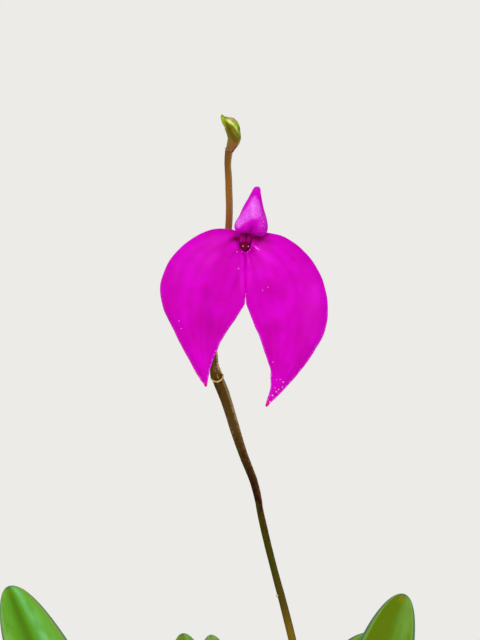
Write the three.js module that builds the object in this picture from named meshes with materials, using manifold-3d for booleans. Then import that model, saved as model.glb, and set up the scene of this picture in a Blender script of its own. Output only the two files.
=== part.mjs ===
// A masdevallia orchid in flower, growing in a plain clay pot.
// Millimetres, +Z up. The origin is the middle of the pot's underside, and the flower faces -Y.
//
// The plant is a tuft of thick spoon-shaped leaves, each on its own stalk in a dry sheath. One wiry
// scape rises out of the tuft to a node with a collar. Above the node it carries a bud on a bare
// stalk, and an open flower on an arching pedicel. The flower's three sepals are joined in a short
// tube, and the two side ones are broad and hang down in curved points.

import * as THREE from "three";
import { LoftGeometry } from "three/addons/geometries/LoftGeometry.js";
import { mergeVertices } from "three/addons/utils/BufferGeometryUtils.js";
import Module from "manifold-3d";

const wasm = await Module();
wasm.setup();

// ---------------------------------------------------------------- driving dimensions

const CLEARANCE = 0.3; // between one solid and the next

const POT = {
  height: 80,
  rimRadius: 50,
  rimHeight: 16,
  rimStep: 2.6, // how far the rim stands out from the wall
  footRadius: 34,
  wall: 4.6,
  floor: 6,
  drainRadius: 4.5,
  drainCircle: 17, // radius of the circle of drain holes
  drainHoles: 3,
  sides: 48,
};

const MIX = {
  sides: 24,
  top: 67, // level of the bark before the loose chips on it
  chips: 44,
  chipLength: [11, 17],
  chipHeight: [3.6, 6.2],
  seed: 7,
};

const STALK = {
  depth: 15, // how deep each stalk stands in the bark
  sheathRadius: 1.9,
  sheathShare: 0.135, // the sheath's height above the bark, as a share of the leaf tip's
  radius: 1.25,
};

const LEAF = {
  arch: 0.36, // how far the leans at foot and tip carry into the leaf, as a share of its span
  upturn: 0.45, // how far the upper face looks up as well as inward
  bladeStart: 0.36, // share of the length that is stalk
  widest: 0.76, // share of the length at which the blade is widest
  fold: 0.3, // rise of each half towards its margin
  channel: 0.25, // depth of the groove over the midrib
  midThickness: 1.5,
  edgeThickness: 0.7,
};

const SEPAL_THICKNESS = 0.9;
const THROAT = new THREE.Vector3(-14.85, -17, 318); // middle of the flower's mouth, in its face plane
const TUBE_LENGTH = 13;
const MOUTH_DEPTH = 3; // the mouth of the tube lies this far behind the face plane

const COLOURS = {
  clay: 0xb5694a,
  bark: 0x6b4630,
  leaf: 0x5f9e2a,
  stem: 0x7a5a2c,
  sepal: 0xd600c4,
  ovary: 0x6f5a2a,
  bud: 0xa3b428,
  column: 0xd987b8,
  petal: 0xc04aa8,
  lip: 0x7d0a24,
};

// Leaves, placed one by one round the tuft: foot [x, y] at the bark, tip [x, y, z], the lean from
// upright at the foot and at the tip, and how far the upper face is swung from the middle of the
// tuft, all in degrees, and the blade's width.
const LEAVES = [
  ["leaf_01_tall_left", [-13, 8], [-88.8, 16, 211.9], 14, 20, -67, 23.2],
  ["leaf_02_tall_right", [9, 17], [34.9, 22, 208.9], 3, 20, 78, 20.8],
  ["leaf_03_inner_back", [-7, 17], [-35, 30, 195.5], 6, 12, -68, 17.6],
  ["leaf_04_inner_front", [-8, -4], [-25.4, -16, 200.5], 4, 12, 60, 14.8],
  ["leaf_05_back_right", [15, 25], [31, 60, 191.5], 4, 66, 6, 27],
  ["leaf_06_front_left", [-13, -15], [-58, -50, 150], 12, 58, 8, 25],
  ["leaf_07_front", [1, -23], [-8, -82, 150], 12, 66, 0, 24],
  ["leaf_08_front_right", [16, -14], [58, -50, 164], 10, 50, -8, 25],
  ["leaf_09_right", [26, 0], [88, -4, 168], 12, 56, 6, 26],
  ["leaf_10_back_right", [25, 14], [76, 40, 178], 10, 46, 0, 25],
  ["leaf_11_back", [3, 29], [-4, 80, 170], 10, 56, 0, 24],
  ["leaf_12_back_left", [-15, 24], [-52, 66, 176], 8, 46, -6, 24],
  ["leaf_13_left", [-25, -5], [-88, -28, 152], 14, 62, 0, 25],
  ["leaf_14_young_front", [12, -28], [32, -62, 124], 10, 50, 0, 18],
  ["leaf_15_young_left", [-27, 12], [-68, 36, 134], 12, 54, 0, 20],
  ["leaf_16_inner_right", [20, 5], [50, 8, 186], 4, 26, 30, 22],
  ["leaf_17_young_right", [28, -13], [66, -34, 122], 12, 56, 0, 17],
  ["leaf_18_inner_left", [-18, 2], [-58, -6, 184], 8, 30, -20, 22],
].map(([name, foot, tip, rise, droop, turn, width]) => ({ name, foot, tip, rise, droop, turn, width }));

// The scape's own line, up to its node, then the bare stalk of the bud and the flower's pedicel.
const SCAPE_LINE = [
  [14, 3, 52], [14, 3, 72], [13, 2.8, 105], [9.8, 2.4, 140], [5.2, 2, 170], [-0.95, 1.4, 199],
  [-6.35, 0.7, 219.7], [-9.05, 0.1, 230.7], [-10.4, -0.2, 236.9], [-10.95, -0.4, 240.2],
  [-12.35, -0.8, 245.8], [-13.6, -1, 249.1], [-15.95, -1.6, 255.2], [-17.9, -2, 261.3],
  [-20.7, -2.5, 270.4], [-23, -2.9, 276.5], [-23.3, -3, 277.3],
];
const SCAPE_RADII = [
  1.3, 1.3, 1.25, 1.2, 1.2, 1.2, 1.08, 1.08, 1.03, 1.1, 1.22, 1.28, 1.38, 1.5, 1.66, 1.74, 1.5,
];
const BUD_STALK_LINE = [
  [-22.8, -2.9, 275.5], [-24.1, -3.1, 282], [-24.9, -3.6, 290], [-23.3, -4.4, 304], [-20.6, -5, 317],
  [-19.76, -5, 327], [-19.93, -4.8, 337], [-19.85, -4.5, 345.9],
];
const BUD_STALK_RADII = [1.2, 0.95, 0.95, 1.0, 1.05, 1.06, 1.06, 1.1];
const PEDICEL_LINE = [
  [-22.8, -2.9, 275.5], [-24.1, -1.9, 282], [-24.7, 1.6, 290], [-22.4, 6.2, 299], [-18.2, 9.4, 307.6],
  [-15.3, 9.7, 315],
];
const PEDICEL_RADII = [1.1, 0.95, 0.9, 0.9, 0.95, 1.05];

// ---------------------------------------------------------------- helpers

const UP = new THREE.Vector3(0, 0, 1);
const FRONT = new THREE.Vector3(0, -1, 0);

const vector = ([x, y, z]) => new THREE.Vector3(x, y, z);
const radians = THREE.MathUtils.degToRad;
const mix = THREE.MathUtils.lerp;
const ease = (x) => THREE.MathUtils.smoothstep(x, 0, 1);

// Repeats the same draws each run.
function seededRandom(seed) {
  let state = seed;
  return () => {
    state = (state * 1664525 + 1013904223) % 4294967296;
    return state / 4294967296;
  };
}

// A value read off evenly spaced stations, for t from 0 to 1.
function along(values, t) {
  const at = Math.min(Math.max(t, 0), 1) * (values.length - 1);
  const i = Math.min(Math.floor(at), values.length - 2);
  return mix(values[i], values[i + 1], at - i);
}

// A smooth curve through points, even steps of t between them.
function curveThrough(points) {
  return new THREE.CatmullRomCurve3(points.map(vector), false, "catmullrom", 0.5);
}

function solidOf(geometry) {
  const bare = new THREE.BufferGeometry();
  bare.setAttribute("position", geometry.attributes.position);
  bare.setIndex(geometry.index);
  const merged = mergeVertices(bare, 1e-4);
  const corners = merged.index.array;
  const triVerts = [];
  for (let i = 0; i < corners.length; i += 3) {
    const [a, b, c] = [corners[i], corners[i + 1], corners[i + 2]];
    if (a !== b && b !== c && c !== a) triVerts.push(a, b, c);
  }
  return new wasm.Manifold(
    new wasm.Mesh({
      numProp: 3,
      vertProperties: merged.attributes.position.array,
      triVerts: new Uint32Array(triVerts),
    }),
  );
}

function geometryOf(solid) {
  const mesh = solid.getMesh();
  const positions = new Float32Array(mesh.numVert * 3);
  for (let i = 0; i < mesh.numVert; i++) {
    positions.set(mesh.vertProperties.subarray(i * mesh.numProp, i * mesh.numProp + 3), i * 3);
  }
  const geometry = new THREE.BufferGeometry();
  geometry.setAttribute("position", new THREE.BufferAttribute(positions, 3));
  geometry.setIndex(new THREE.BufferAttribute(mesh.triVerts, 1));
  geometry.computeVertexNormals();
  return geometry;
}

// Stands an outline of [side, up] offsets across a line that runs along tangent, its up towards facing.
function section(at, tangent, facing, outline) {
  const up = facing.clone().addScaledVector(tangent, -facing.dot(tangent)).normalize();
  const side = new THREE.Vector3().crossVectors(up, tangent);
  return outline.map(([s, u]) => at.clone().addScaledVector(side, s).addScaledVector(up, u));
}

function circle(radius, sides, flatness = 1) {
  return Array.from({ length: sides }, (_, i) => {
    const angle = ((i + 0.5) / sides) * 2 * Math.PI;
    return [radius * Math.cos(angle), radius * flatness * Math.sin(angle)];
  });
}

function closedLoft(sections) {
  return solidOf(new LoftGeometry(sections, { capStart: true, capEnd: true }));
}

// A round stem of changing radius along a curve, from t0 to t1 of it.
function stem(curve, radii, { sides = 8, steps = 24, facing = FRONT, flatness = 1 } = {}) {
  const sections = [];
  for (let i = 0; i <= steps; i++) {
    const t = i / steps;
    const outline = circle(along(radii, t), sides, flatness);
    sections.push(section(curve.getPoint(t), curve.getTangent(t), facing, outline));
  }
  return closedLoft(sections);
}

function namedMesh(name, solid, colour, roughness) {
  const material = new THREE.MeshStandardMaterial({ color: colour, roughness, metalness: 0 });
  const mesh = new THREE.Mesh(geometryOf(solid), material);
  mesh.name = name;
  return mesh;
}

// ---------------------------------------------------------------- pot and bark

// A solid of revolution about Z, from a profile of [radius, height] that starts and ends on the axis.
function turned(profile, sides) {
  const points = profile.map(([r, z]) => new THREE.Vector2(r, z));
  return solidOf(new THREE.LatheGeometry(points, sides).rotateX(Math.PI / 2));
}

const wallRadius = POT.rimRadius - POT.rimStep; // outer radius of the wall just under the rim
const innerRadiusAt = (z) => mix(POT.footRadius, wallRadius, z / POT.height) - POT.wall;

function pot() {
  const underRim = POT.height - POT.rimHeight;
  let solid = turned(
    [
      [0, 0],
      [POT.footRadius - 1.2, 0],
      [POT.footRadius, 1.2],
      [mix(POT.footRadius, wallRadius, underRim / POT.height), underRim],
      [POT.rimRadius - 1, underRim],
      [POT.rimRadius - 0.4, underRim + 1],
      [POT.rimRadius, POT.height - 2.4],
      [POT.rimRadius - 1, POT.height - 0.5],
      [POT.rimRadius - 2.6, POT.height],
      [innerRadiusAt(POT.height) + 1.6, POT.height - 0.4],
      [innerRadiusAt(POT.height), POT.height - 2.2],
      [innerRadiusAt(POT.floor) + 0.2, POT.floor + 2],
      [innerRadiusAt(POT.floor) - 2, POT.floor],
      [0, POT.floor],
    ],
    POT.sides,
  );
  for (let i = 0; i < POT.drainHoles; i++) {
    const angle = Math.PI / 2 + (i / POT.drainHoles) * 2 * Math.PI;
    const drill = new THREE.CylinderGeometry(POT.drainRadius, POT.drainRadius, POT.floor * 3, 16);
    drill.rotateX(Math.PI / 2);
    drill.translate(POT.drainCircle * Math.cos(angle), POT.drainCircle * Math.sin(angle), 0);
    solid = solid.subtract(solidOf(drill));
  }
  return solid;
}

// A block of bark: a box with its corners pulled about.
function chip(random) {
  const length = mix(...MIX.chipLength, random());
  const width = length * mix(0.5, 0.8, random());
  const height = mix(...MIX.chipHeight, random());
  const loose = new THREE.BoxGeometry(length, width, height);
  const box = mergeVertices(loose.deleteAttribute("normal").deleteAttribute("uv"));
  const position = box.attributes.position;
  for (let i = 0; i < position.count; i++) {
    position.setXYZ(
      i,
      position.getX(i) * mix(0.72, 1.05, random()),
      position.getY(i) * mix(0.68, 1.08, random()),
      position.getZ(i) * mix(0.7, 1.1, random()),
    );
  }
  return box;
}

function pottingMix(stalks) {
  const gap = CLEARANCE + innerRadiusAt(MIX.top) * (1 - Math.cos(Math.PI / POT.sides));
  const inside = turned(
    [
      [0, POT.floor + gap],
      [innerRadiusAt(POT.floor) - 2.2 - gap, POT.floor + gap],
      [innerRadiusAt(POT.floor) + 0.1 - gap, POT.floor + 2.2 + gap],
      [innerRadiusAt(POT.height - 3) - gap, POT.height - 3],
      [0, POT.height - 3],
    ],
    MIX.sides,
  );
  let solid = turned(
    [
      [0, POT.floor],
      [innerRadiusAt(MIX.top), POT.floor],
      [innerRadiusAt(MIX.top), MIX.top - 1.2],
      [innerRadiusAt(MIX.top) * 0.55, MIX.top + 0.6],
      [0, MIX.top + 1],
    ],
    MIX.sides,
  );
  const random = seededRandom(MIX.seed);
  const goldenAngle = Math.PI * (3 - Math.sqrt(5));
  for (let i = 0; i < MIX.chips; i++) {
    const reach = (innerRadiusAt(MIX.top) - 3.2) * Math.sqrt((i + 0.5) / MIX.chips);
    const angle = i * goldenAngle + 0.3 * random();
    const block = chip(random);
    block.rotateX((random() - 0.5) * 0.7);
    block.rotateY((random() - 0.5) * 0.7);
    block.rotateZ(random() * 2 * Math.PI);
    block.translate(reach * Math.cos(angle), reach * Math.sin(angle), MIX.top + mix(0.4, 2.4, random()));
    solid = solid.add(solidOf(block));
  }
  solid = solid.intersect(inside);
  for (const hole of stalks) solid = solid.subtract(hole);
  return solid.decompose().reduce((most, body) => (body.volume() > most.volume() ? body : most));
}

// ---------------------------------------------------------------- leaves

// The line of a leaf, from its foot in the bark to its tip.
function leafLine({ foot, tip, rise, droop }) {
  const start = vector([...foot, MIX.top - STALK.depth]);
  const end = vector(tip);
  const out = new THREE.Vector3(end.x - start.x, end.y - start.y, 0).normalize();
  const lean = (degrees) =>
    new THREE.Vector3(0, 0, Math.cos(radians(degrees))).addScaledVector(out, Math.sin(radians(degrees)));
  const reach = start.distanceTo(end) * LEAF.arch;
  return new THREE.CubicBezierCurve3(
    start,
    start.clone().addScaledVector(lean(rise), reach),
    end.clone().addScaledVector(lean(droop), -reach),
    end,
  );
}

// Where the upper face looks: back over the middle of the tuft and up, swung round by turn.
function leafFacing({ foot, tip, turn }) {
  const inward = new THREE.Vector3(foot[0] - tip[0], foot[1] - tip[1], 0).normalize();
  inward.applyAxisAngle(UP, radians(turn));
  return inward.setZ(LEAF.upturn).normalize();
}

// Half the blade's width at u of its length: narrow in the stalk, a long taper out, a round end.
function bladeHalfWidth(u, width) {
  const half = width / 2;
  if (u >= 1) return 0;
  if (u > LEAF.widest) return half * Math.sqrt(1 - ((u - LEAF.widest) / (1 - LEAF.widest)) ** 2);
  const grown = ease((u - LEAF.bladeStart) / (LEAF.widest - LEAF.bladeStart));
  return mix(STALK.radius, half, grown ** 0.85);
}

// Ten points round a leaf: a round stalk low down, a folded blade with a keel under it higher up.
function leafOutline(u, width, sheathEnd) {
  const blade = ease((u - sheathEnd) / (LEAF.bladeStart + 0.06 - sheathEnd));
  const radius = u <= sheathEnd ? STALK.sheathRadius : STALK.radius;
  const half = Math.max(bladeHalfWidth(u, width), 0.5);
  const slim = Math.min(1, half / 4);
  const edge = LEAF.edgeThickness;
  const middle = mix(edge, LEAF.midThickness, slim);
  const fold = LEAF.fold * slim;
  const folded = [
    [half, half * fold],
    [half * 0.5, half * 0.42 * fold],
    [0, -LEAF.channel * slim],
    [-half * 0.5, half * 0.42 * fold],
    [-half, half * fold],
    [-half, half * fold - edge],
    [-half * 0.5, half * 0.42 * fold - mix(edge, middle, 0.4)],
    [0, -LEAF.channel * slim - middle],
    [half * 0.5, half * 0.42 * fold - mix(edge, middle, 0.4)],
    [half, half * fold - edge],
  ];
  return circle(radius, 10).map(([s, n], i) => [mix(s, folded[i][0], blade), mix(n, folded[i][1], blade)]);
}

function leaf(spec) {
  const line = leafLine(spec);
  const facing = leafFacing(spec);
  const sheathLength = STALK.depth + STALK.sheathShare * (spec.tip[2] - MIX.top);
  const sheathEnd = sheathLength / line.getLength();
  const stations = [0, sheathEnd * 0.5, sheathEnd, sheathEnd + 0.008];
  for (const u of [0.3, 0.38, 0.45, 0.52, 0.6, 0.68, 0.76, 0.84, 0.905, 0.95, 0.98, 0.996]) stations.push(u);
  return closedLoft(
    stations.map((u) =>
      section(line.getPointAt(u), line.getTangentAt(u), facing, leafOutline(u, spec.width, sheathEnd)),
    ),
  );
}

// The plain hole that a stalk stands in, which clears it all round and up through the loose chips.
function stalkHole(line, radius, topHeight) {
  const sides = 8;
  const outline = circle((radius + CLEARANCE) / Math.cos(Math.PI / sides), sides);
  const below = line.getPoint(0).addScaledVector(line.getTangent(0), -CLEARANCE);
  const sections = [section(below, line.getTangent(0), FRONT, outline)];
  for (const height of [STALK.depth / 2, STALK.depth, topHeight]) {
    const t = line.getUtoTmapping(height / line.getLength());
    sections.push(section(line.getPoint(t), line.getTangent(t), FRONT, outline));
  }
  return closedLoft(sections);
}

// ---------------------------------------------------------------- scape, bud and ovary

// A collar with a raised rim round the scape's node, tipped with the stem.
function collar(at, tangent, radius, height, rim) {
  const ring = (lift, r) => section(at.clone().addScaledVector(tangent, lift), tangent, FRONT, circle(r, 12));
  return closedLoft([ring(-height, radius), ring(-0.1, rim), ring(0.35, rim), ring(0.6, radius * 0.9)]);
}

function scape() {
  const line = curveThrough(SCAPE_LINE);
  const budStalk = curveThrough(BUD_STALK_LINE);
  const pedicel = curveThrough(PEDICEL_LINE);
  const node = line.getPoint(1);
  const bract = curveThrough([
    [-23.5, -2.95, 276.9], [-23.95, -2.9, 279], [-24.33, -2.8, 281.4], [-24.42, -2.7, 284.2],
    [-24.55, -2.6, 287.2],
  ]);
  return stem(line, SCAPE_RADII, { sides: 10, steps: 36 })
    .add(stem(budStalk, BUD_STALK_RADII, { sides: 8, steps: 22 }))
    .add(stem(pedicel, PEDICEL_RADII, { sides: 8, steps: 18 }))
    .add(stem(bract, [1.66, 1.72, 1.35, 1.2, 1.05], { sides: 10, steps: 6 }))
    .add(collar(node, line.getTangent(1), 1.65, 1.5, 2))
    .add(collar(budStalk.getPoint(1), budStalk.getTangent(1), 1, 0.9, 1.3));
}

// The next bud, hooded and bent over to one side, its point hooked up.
function bud() {
  const line = curveThrough([
    [-19.6, -4.5, 347], [-19.25, -4.5, 347.9], [-18.65, -4.6, 348.9], [-18.2, -4.7, 350.4],
    [-18.5, -4.8, 352.2], [-19, -4.95, 353.7], [-19.55, -5.05, 354.95], [-20.45, -5.1, 355.75],
    [-21.3, -5.1, 356.4], [-21.75, -5.1, 357], [-21.85, -5.1, 357.7],
  ]);
  const radii = [0.85, 1.3, 1.7, 1.98, 2.12, 2.22, 2.1, 1.5, 0.9, 0.5, 0.25];
  return stem(line, radii, { sides: 12, steps: 18, flatness: 0.86 });
}

// Six low ribs run along the ovary, which curves forward from the pedicel to the back of the tube.
function ovary() {
  const line = curveThrough([
    [-14.95, 8.9, 315.9], [-14.9, 7.4, 317.5], [-14.87, 5, 318.2], [-14.85, 2.4, 318],
    [-14.85, -0.05, 317.7],
  ]);
  const radii = [1.1, 1.4, 1.7, 1.75, 1.5];
  const steps = 10;
  const sides = 18;
  const ribs = 6;
  const sections = [];
  for (let i = 0; i <= steps; i++) {
    const t = i / steps;
    const radius = along(radii, t);
    const outline = Array.from({ length: sides }, (_, k) => {
      const angle = ((k + 0.5) / sides) * 2 * Math.PI;
      const r = radius * (1 + 0.09 * Math.cos(ribs * angle));
      return [r * Math.cos(angle), r * Math.sin(angle)];
    });
    sections.push(section(line.getPoint(t), line.getTangent(t), new THREE.Vector3(1, 0, 0), outline));
  }
  return closedLoft(sections);
}

// ---------------------------------------------------------------- sepals

// Flower frame: x to the right, z up, v forward out of the face, all from the throat.
const inFlower = (x, z, v) => new THREE.Vector3(THROAT.x + x, THROAT.y - v, THROAT.z + z);

// Margins of the side sepals as [x, z]. Both sit on the seam under the throat down to the notch.
const SEAM = [-2.9, -5.4, -8.6, -11.9, -15.1, -18.2];
const LEFT = {
  outer: [
    [-1.4, 2.7], [-4.8, 4.3], [-10.6, 4.1], [-17.3, 0.7], [-22.9, -5.1], [-25.65, -12.4], [-24.7, -19.6],
    [-21.15, -26.9], [-17.15, -34.6], [-14, -40.2], [-12.35, -42.5],
  ],
  inner: [
    [0, -18.2], [-2.6, -22.2], [-5.5, -26.4], [-7.9, -30.8], [-9.75, -35.2], [-10.95, -39.2],
    [-11.6, -42.55],
  ],
};
const RIGHT = {
  outer: [
    [1.4, 2.7], [6.6, 3.2], [12.2, 1.75], [18, -2.7], [22.6, -9.4], [24.85, -17.8], [23.9, -26.2],
    [20.1, -33.3], [15, -40], [10.4, -45], [7.1, -48.2],
  ],
  inner: [
    [0, -18.2], [2.08, -23.2], [4.1, -28.2], [6.03, -33.2], [7.45, -38.2], [7.42, -43.2], [6.1, -48.65],
  ],
};
const NOTCH = 0.5; // share of the sepal's length where the seam ends
const VEINS = [0.22, 0.52, 0.8]; // sunk lines, as shares of the way from the seam to the outer margin

// The hooded upper sepal: margins, middle line and depths from the mouth to the tip.
const DORSAL = {
  left: [
    [-1.4, 2.7], [-1.6, 2.9], [-2.5, 3.3], [-3.3, 4.4], [-3.15, 6], [-1.85, 8.2], [-0.7, 10.8],
    [0.8, 13.3], [1.9, 15.5], [2.7, 16.6],
  ],
  middle: [
    [0, 3.4], [0.9, 3.5], [1.6, 3.75], [1.95, 4.6], [2.05, 6.1], [2.15, 8.2], [2.35, 10.6],
    [2.8, 13.3], [3.2, 15.6], [3.4, 16.95],
  ],
  right: [
    [1.4, 2.7], [2.9, 2.4], [4.7, 2.15], [6.3, 3.1], [6.65, 5.2], [6.2, 7.8], [5.42, 10.4],
    [4.85, 13.2], [4.55, 15.5], [4.1, 16.6],
  ],
  middleDepth: [-3, -0.6, 0.9, 1.6, 2, 1.9, 1.4, 0.5, -0.5, -1.1],
  edgeDepth: [-3, -0.4, 0.6, 0.7, 0.5, 0.3, 0, -0.5, -1, -1.3],
  puff: [0, 0.5, 1.3, 1.5, 1.1, 0.7, 0.4, 0.2, 0, 0],
  crease: [0, 0.4, 0.9, 0.8, 0.4, 0.1, 0, 0, 0, 0],
};
const UPPER_CORNER = 52; // degrees above level where the side sepals end on the mouth

const flat2 = (points) => curveThrough(points.map(([x, z]) => [x, 0, z]));

// Half width, half height and rise of the tube at q, 0 at the mouth and 1 at its back end.
const TUBE = {
  width: [2.4, 3.3, 3.9, 4.1, 3.8, 2.9, 1.7, 0],
  height: [3.4, 3.8, 4.1, 4.1, 3.8, 2.9, 1.7, 0],
  rise: [0, 0.1, 0.2, 0.2, 0.1, -0.1, -0.3, -0.3],
  depth: [0, 0.18, 0.36, 0.54, 0.71, 0.87, 0.985, 1], // share of the length at each of these rings
};

function tubePoint(q, degrees) {
  const angle = radians(degrees);
  const x = along(TUBE.width, q) * Math.cos(angle);
  const z = along(TUBE.height, q) * Math.sin(angle) + along(TUBE.rise, q);
  return inFlower(x, z, -MOUTH_DEPTH - TUBE_LENGTH * along(TUBE.depth, q));
}

const hump = (x) => Math.sin(Math.PI * Math.min(1, x)); // up and down again over 0 to 1
const bell = (x, width) => Math.exp(-((x / width) ** 2));

// How far forward the face of a side sepal stands. s runs from the seam (0) to the outer margin (1).
function sideDepth(x, z, s, t) {
  const fromThroat = Math.hypot(x, z);
  const crown = 2.2 * hump(s * 0.9 + 0.08) * hump(t * 0.9 + 0.1);
  const dip = 1.9 * bell(fromThroat, 6);
  const seam = bell(s, 0.07) * (1 - ease((t - NOTCH) / 0.12));
  const rolledBack = 1.8 * s ** 4 * hump(t + 0.1);
  const veins = VEINS.reduce((sum, vein) => sum + 0.28 * bell(s - vein, 0.035), 0);
  const veined = ease(t / 0.15) * (1 - ease((t - 0.8) / 0.2));
  const point = 1.6 * t ** 5;
  return crown - dip - seam - rolledBack - veins * veined + point;
}

// One row across a side sepal at t of its length, from the seam or inner margin to the outer one.
function sideRow(sepal, side, t, columns) {
  const outer = flat2(sepal.outer).getPoint(t);
  const inner =
    t <= NOTCH
      ? new THREE.Vector3(0, 0, along(SEAM, t / NOTCH))
      : flat2(sepal.inner).getPoint((t - NOTCH) / (1 - NOTCH));
  const spread = ease(t / 0.16); // the row leaves the curve of the mouth and lies flat
  const mouth = (s) => {
    const angle = radians(mix(-90, UPPER_CORNER, s));
    return new THREE.Vector3(side * TUBE.width[0] * Math.cos(angle), 0, TUBE.height[0] * Math.sin(angle));
  };
  return Array.from({ length: columns + 1 }, (_, j) => {
    const s = j / columns;
    const bulge = mouth(s).sub(mouth(0).lerp(mouth(1), s));
    const point = inner.clone().lerp(outer, s).addScaledVector(bulge, 1 - spread);
    const depth = mix(-MOUTH_DEPTH, sideDepth(point.x, point.z, s, t), ease(t / 0.11));
    return inFlower(point.x, point.z, depth);
  });
}

function sideSheet(sepal, side, { columns, rows, tubeRows }) {
  const sections = [];
  for (let i = tubeRows; i > 0; i--) {
    const q = i / tubeRows;
    sections.push(
      Array.from({ length: columns + 1 }, (_, j) => {
        const degrees = mix(-90, UPPER_CORNER, j / columns);
        return tubePoint(q, side > 0 ? degrees : 180 - degrees);
      }),
    );
  }
  for (let i = 0; i <= rows; i++) sections.push(sideRow(sepal, side, i / rows, columns));
  return sections;
}

function dorsalRow(t, columns) {
  const left = flat2(DORSAL.left).getPoint(t);
  const middle = flat2(DORSAL.middle).getPoint(t);
  const right = flat2(DORSAL.right).getPoint(t);
  return Array.from({ length: columns + 1 }, (_, j) => {
    const s = (2 * j) / columns - 1; // -1 on the left margin, 1 on the right
    const bend = right.clone().add(left).multiplyScalar(0.5).sub(middle);
    const point = middle.clone().addScaledVector(right.clone().sub(left), s / 2).addScaledVector(bend, s * s);
    const puff = along(DORSAL.puff, t) * Math.sin(Math.PI * Math.abs(s)) ** 2;
    const crease = along(DORSAL.crease, t) * bell(s, 0.3);
    const sheet = mix(along(DORSAL.middleDepth, t), along(DORSAL.edgeDepth, t), s * s);
    return inFlower(point.x, point.z, sheet + puff - crease);
  });
}

function dorsalSheet({ columns, rows, tubeRows }) {
  const sections = [];
  for (let i = tubeRows; i >= 0; i--) {
    sections.push(
      Array.from({ length: columns + 1 }, (_, j) =>
        tubePoint(i / tubeRows, mix(180 - UPPER_CORNER, UPPER_CORNER, j / columns)),
      ),
    );
  }
  for (let i = 1; i <= rows; i++) sections.push(dorsalRow(i / rows, columns));
  return sections;
}

// Gives an open sheet its thickness, half on each side, and closes it along its margins.
function thickened(sheets, thickness) {
  const positions = [];
  for (const { sections, flip } of sheets) {
    for (let i = 0; i + 1 < sections.length; i++) {
      for (let j = 0; j + 1 < sections[i].length; j++) {
        const [a, b] = [sections[i][j], sections[i][j + 1]];
        const [d, c] = [sections[i + 1][j], sections[i + 1][j + 1]];
        const corners = flip ? [a, b, c, a, c, d] : [a, c, b, a, d, c];
        for (const p of corners) positions.push(p.x, p.y, p.z);
      }
    }
  }
  const loose = new THREE.BufferGeometry();
  loose.setAttribute("position", new THREE.Float32BufferAttribute(positions, 3));
  const sheet = mergeVertices(loose, 2e-3);
  sheet.computeVertexNormals();
  const { position, normal } = sheet.attributes;
  const count = position.count;
  const both = new Float32Array(count * 6);
  for (let i = 0; i < count; i++) {
    const at = new THREE.Vector3().fromBufferAttribute(position, i);
    const out = new THREE.Vector3().fromBufferAttribute(normal, i).multiplyScalar(thickness / 2);
    both.set(at.clone().add(out).toArray(), i * 3);
    both.set(at.clone().sub(out).toArray(), (count + i) * 3);
  }
  const index = [];
  const edges = new Map();
  const corners = sheet.index.array;
  for (let i = 0; i < corners.length; i += 3) {
    const face = [corners[i], corners[i + 1], corners[i + 2]];
    if (new Set(face).size < 3) continue;
    index.push(face[0], face[1], face[2]);
    index.push(count + face[2], count + face[1], count + face[0]);
    face.forEach((from, k) => edges.set(from + "," + face[(k + 1) % 3], [from, face[(k + 1) % 3]]));
  }
  for (const [from, to] of edges.values()) {
    if (edges.has(to + "," + from)) continue;
    index.push(to, from, count + from, to, count + from, count + to);
  }
  const closed = new THREE.BufferGeometry();
  closed.setAttribute("position", new THREE.BufferAttribute(both, 3));
  closed.setIndex(index);
  return solidOf(closed);
}

function sepals() {
  const size = { columns: 9, rows: 18, tubeRows: 7 };
  const top = { columns: 8, rows: 14, tubeRows: 7 };
  return thickened(
    [
      { sections: sideSheet(LEFT, -1, size), flip: false },
      { sections: sideSheet(RIGHT, 1, size), flip: true },
      { sections: dorsalSheet(top), flip: false },
    ],
    SEPAL_THICKNESS,
  );
}

// ---------------------------------------------------------------- inside the tube

// A line inside the tube, through points in the flower's own frame.
const lineInFlower = (points) => curveThrough(points.map(([x, z, v]) => inFlower(x, z, v).toArray()));

function column() {
  const line = lineInFlower([[0, -0.2, -15.1], [0, 0.6, -11.5], [0, 1, -8], [0, 0.9, -5.4], [0, 0.5, -4]]);
  return stem(line, [0.7, 0.7, 0.7, 0.75, 0.45], { sides: 8, steps: 10, facing: UP });
}

// A petal is a small strap beside the column, taller than it is thick.
function petal(side) {
  const line = lineInFlower(
    [[1.3, 0, -13.4], [1.9, 0.3, -10], [1.75, 0.5, -7], [1.3, 0.4, -4.6], [1.1, 0, -2.6]].map(
      ([x, z, v]) => [side * x, z, v],
    ),
  );
  const halfHeights = [0.8, 1.4, 1.7, 1.7, 0.9];
  const thick = 0.32; // half the strap's thickness
  const steps = 8;
  const sections = [];
  for (let i = 0; i <= steps; i++) {
    const t = i / steps;
    const h = along(halfHeights, t);
    const outline = [
      [thick, -h * 0.8], [thick, h * 0.8], [thick * 0.4, h], [-thick * 0.4, h],
      [-thick, h * 0.8], [-thick, -h * 0.8], [-thick * 0.4, -h], [thick * 0.4, -h],
    ];
    sections.push(section(line.getPoint(t), line.getTangent(t), UP, outline));
  }
  return closedLoft(sections);
}

// The lip lies along the floor of the tube, its round tip in the mouth.
function lip() {
  const line = lineInFlower([
    [0, -1.5, -13.6], [0, -2.1, -10.4], [0, -2.2, -7.4], [0, -1.9, -4.8], [0, -1.75, -3.2],
  ]);
  return stem(line, [0.6, 1, 1.2, 1.3, 0.8], { sides: 10, steps: 12, facing: UP, flatness: 0.55 });
}

// ---------------------------------------------------------------- the whole plant

const looseChips = 11; // the holes run on this far above the bark's level, through the chips
const holes = LEAVES.map((spec) => stalkHole(leafLine(spec), STALK.sheathRadius, STALK.depth + looseChips));
holes.push(stalkHole(curveThrough(SCAPE_LINE), SCAPE_RADII[0], MIX.top - SCAPE_LINE[0][2] + looseChips));

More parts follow.
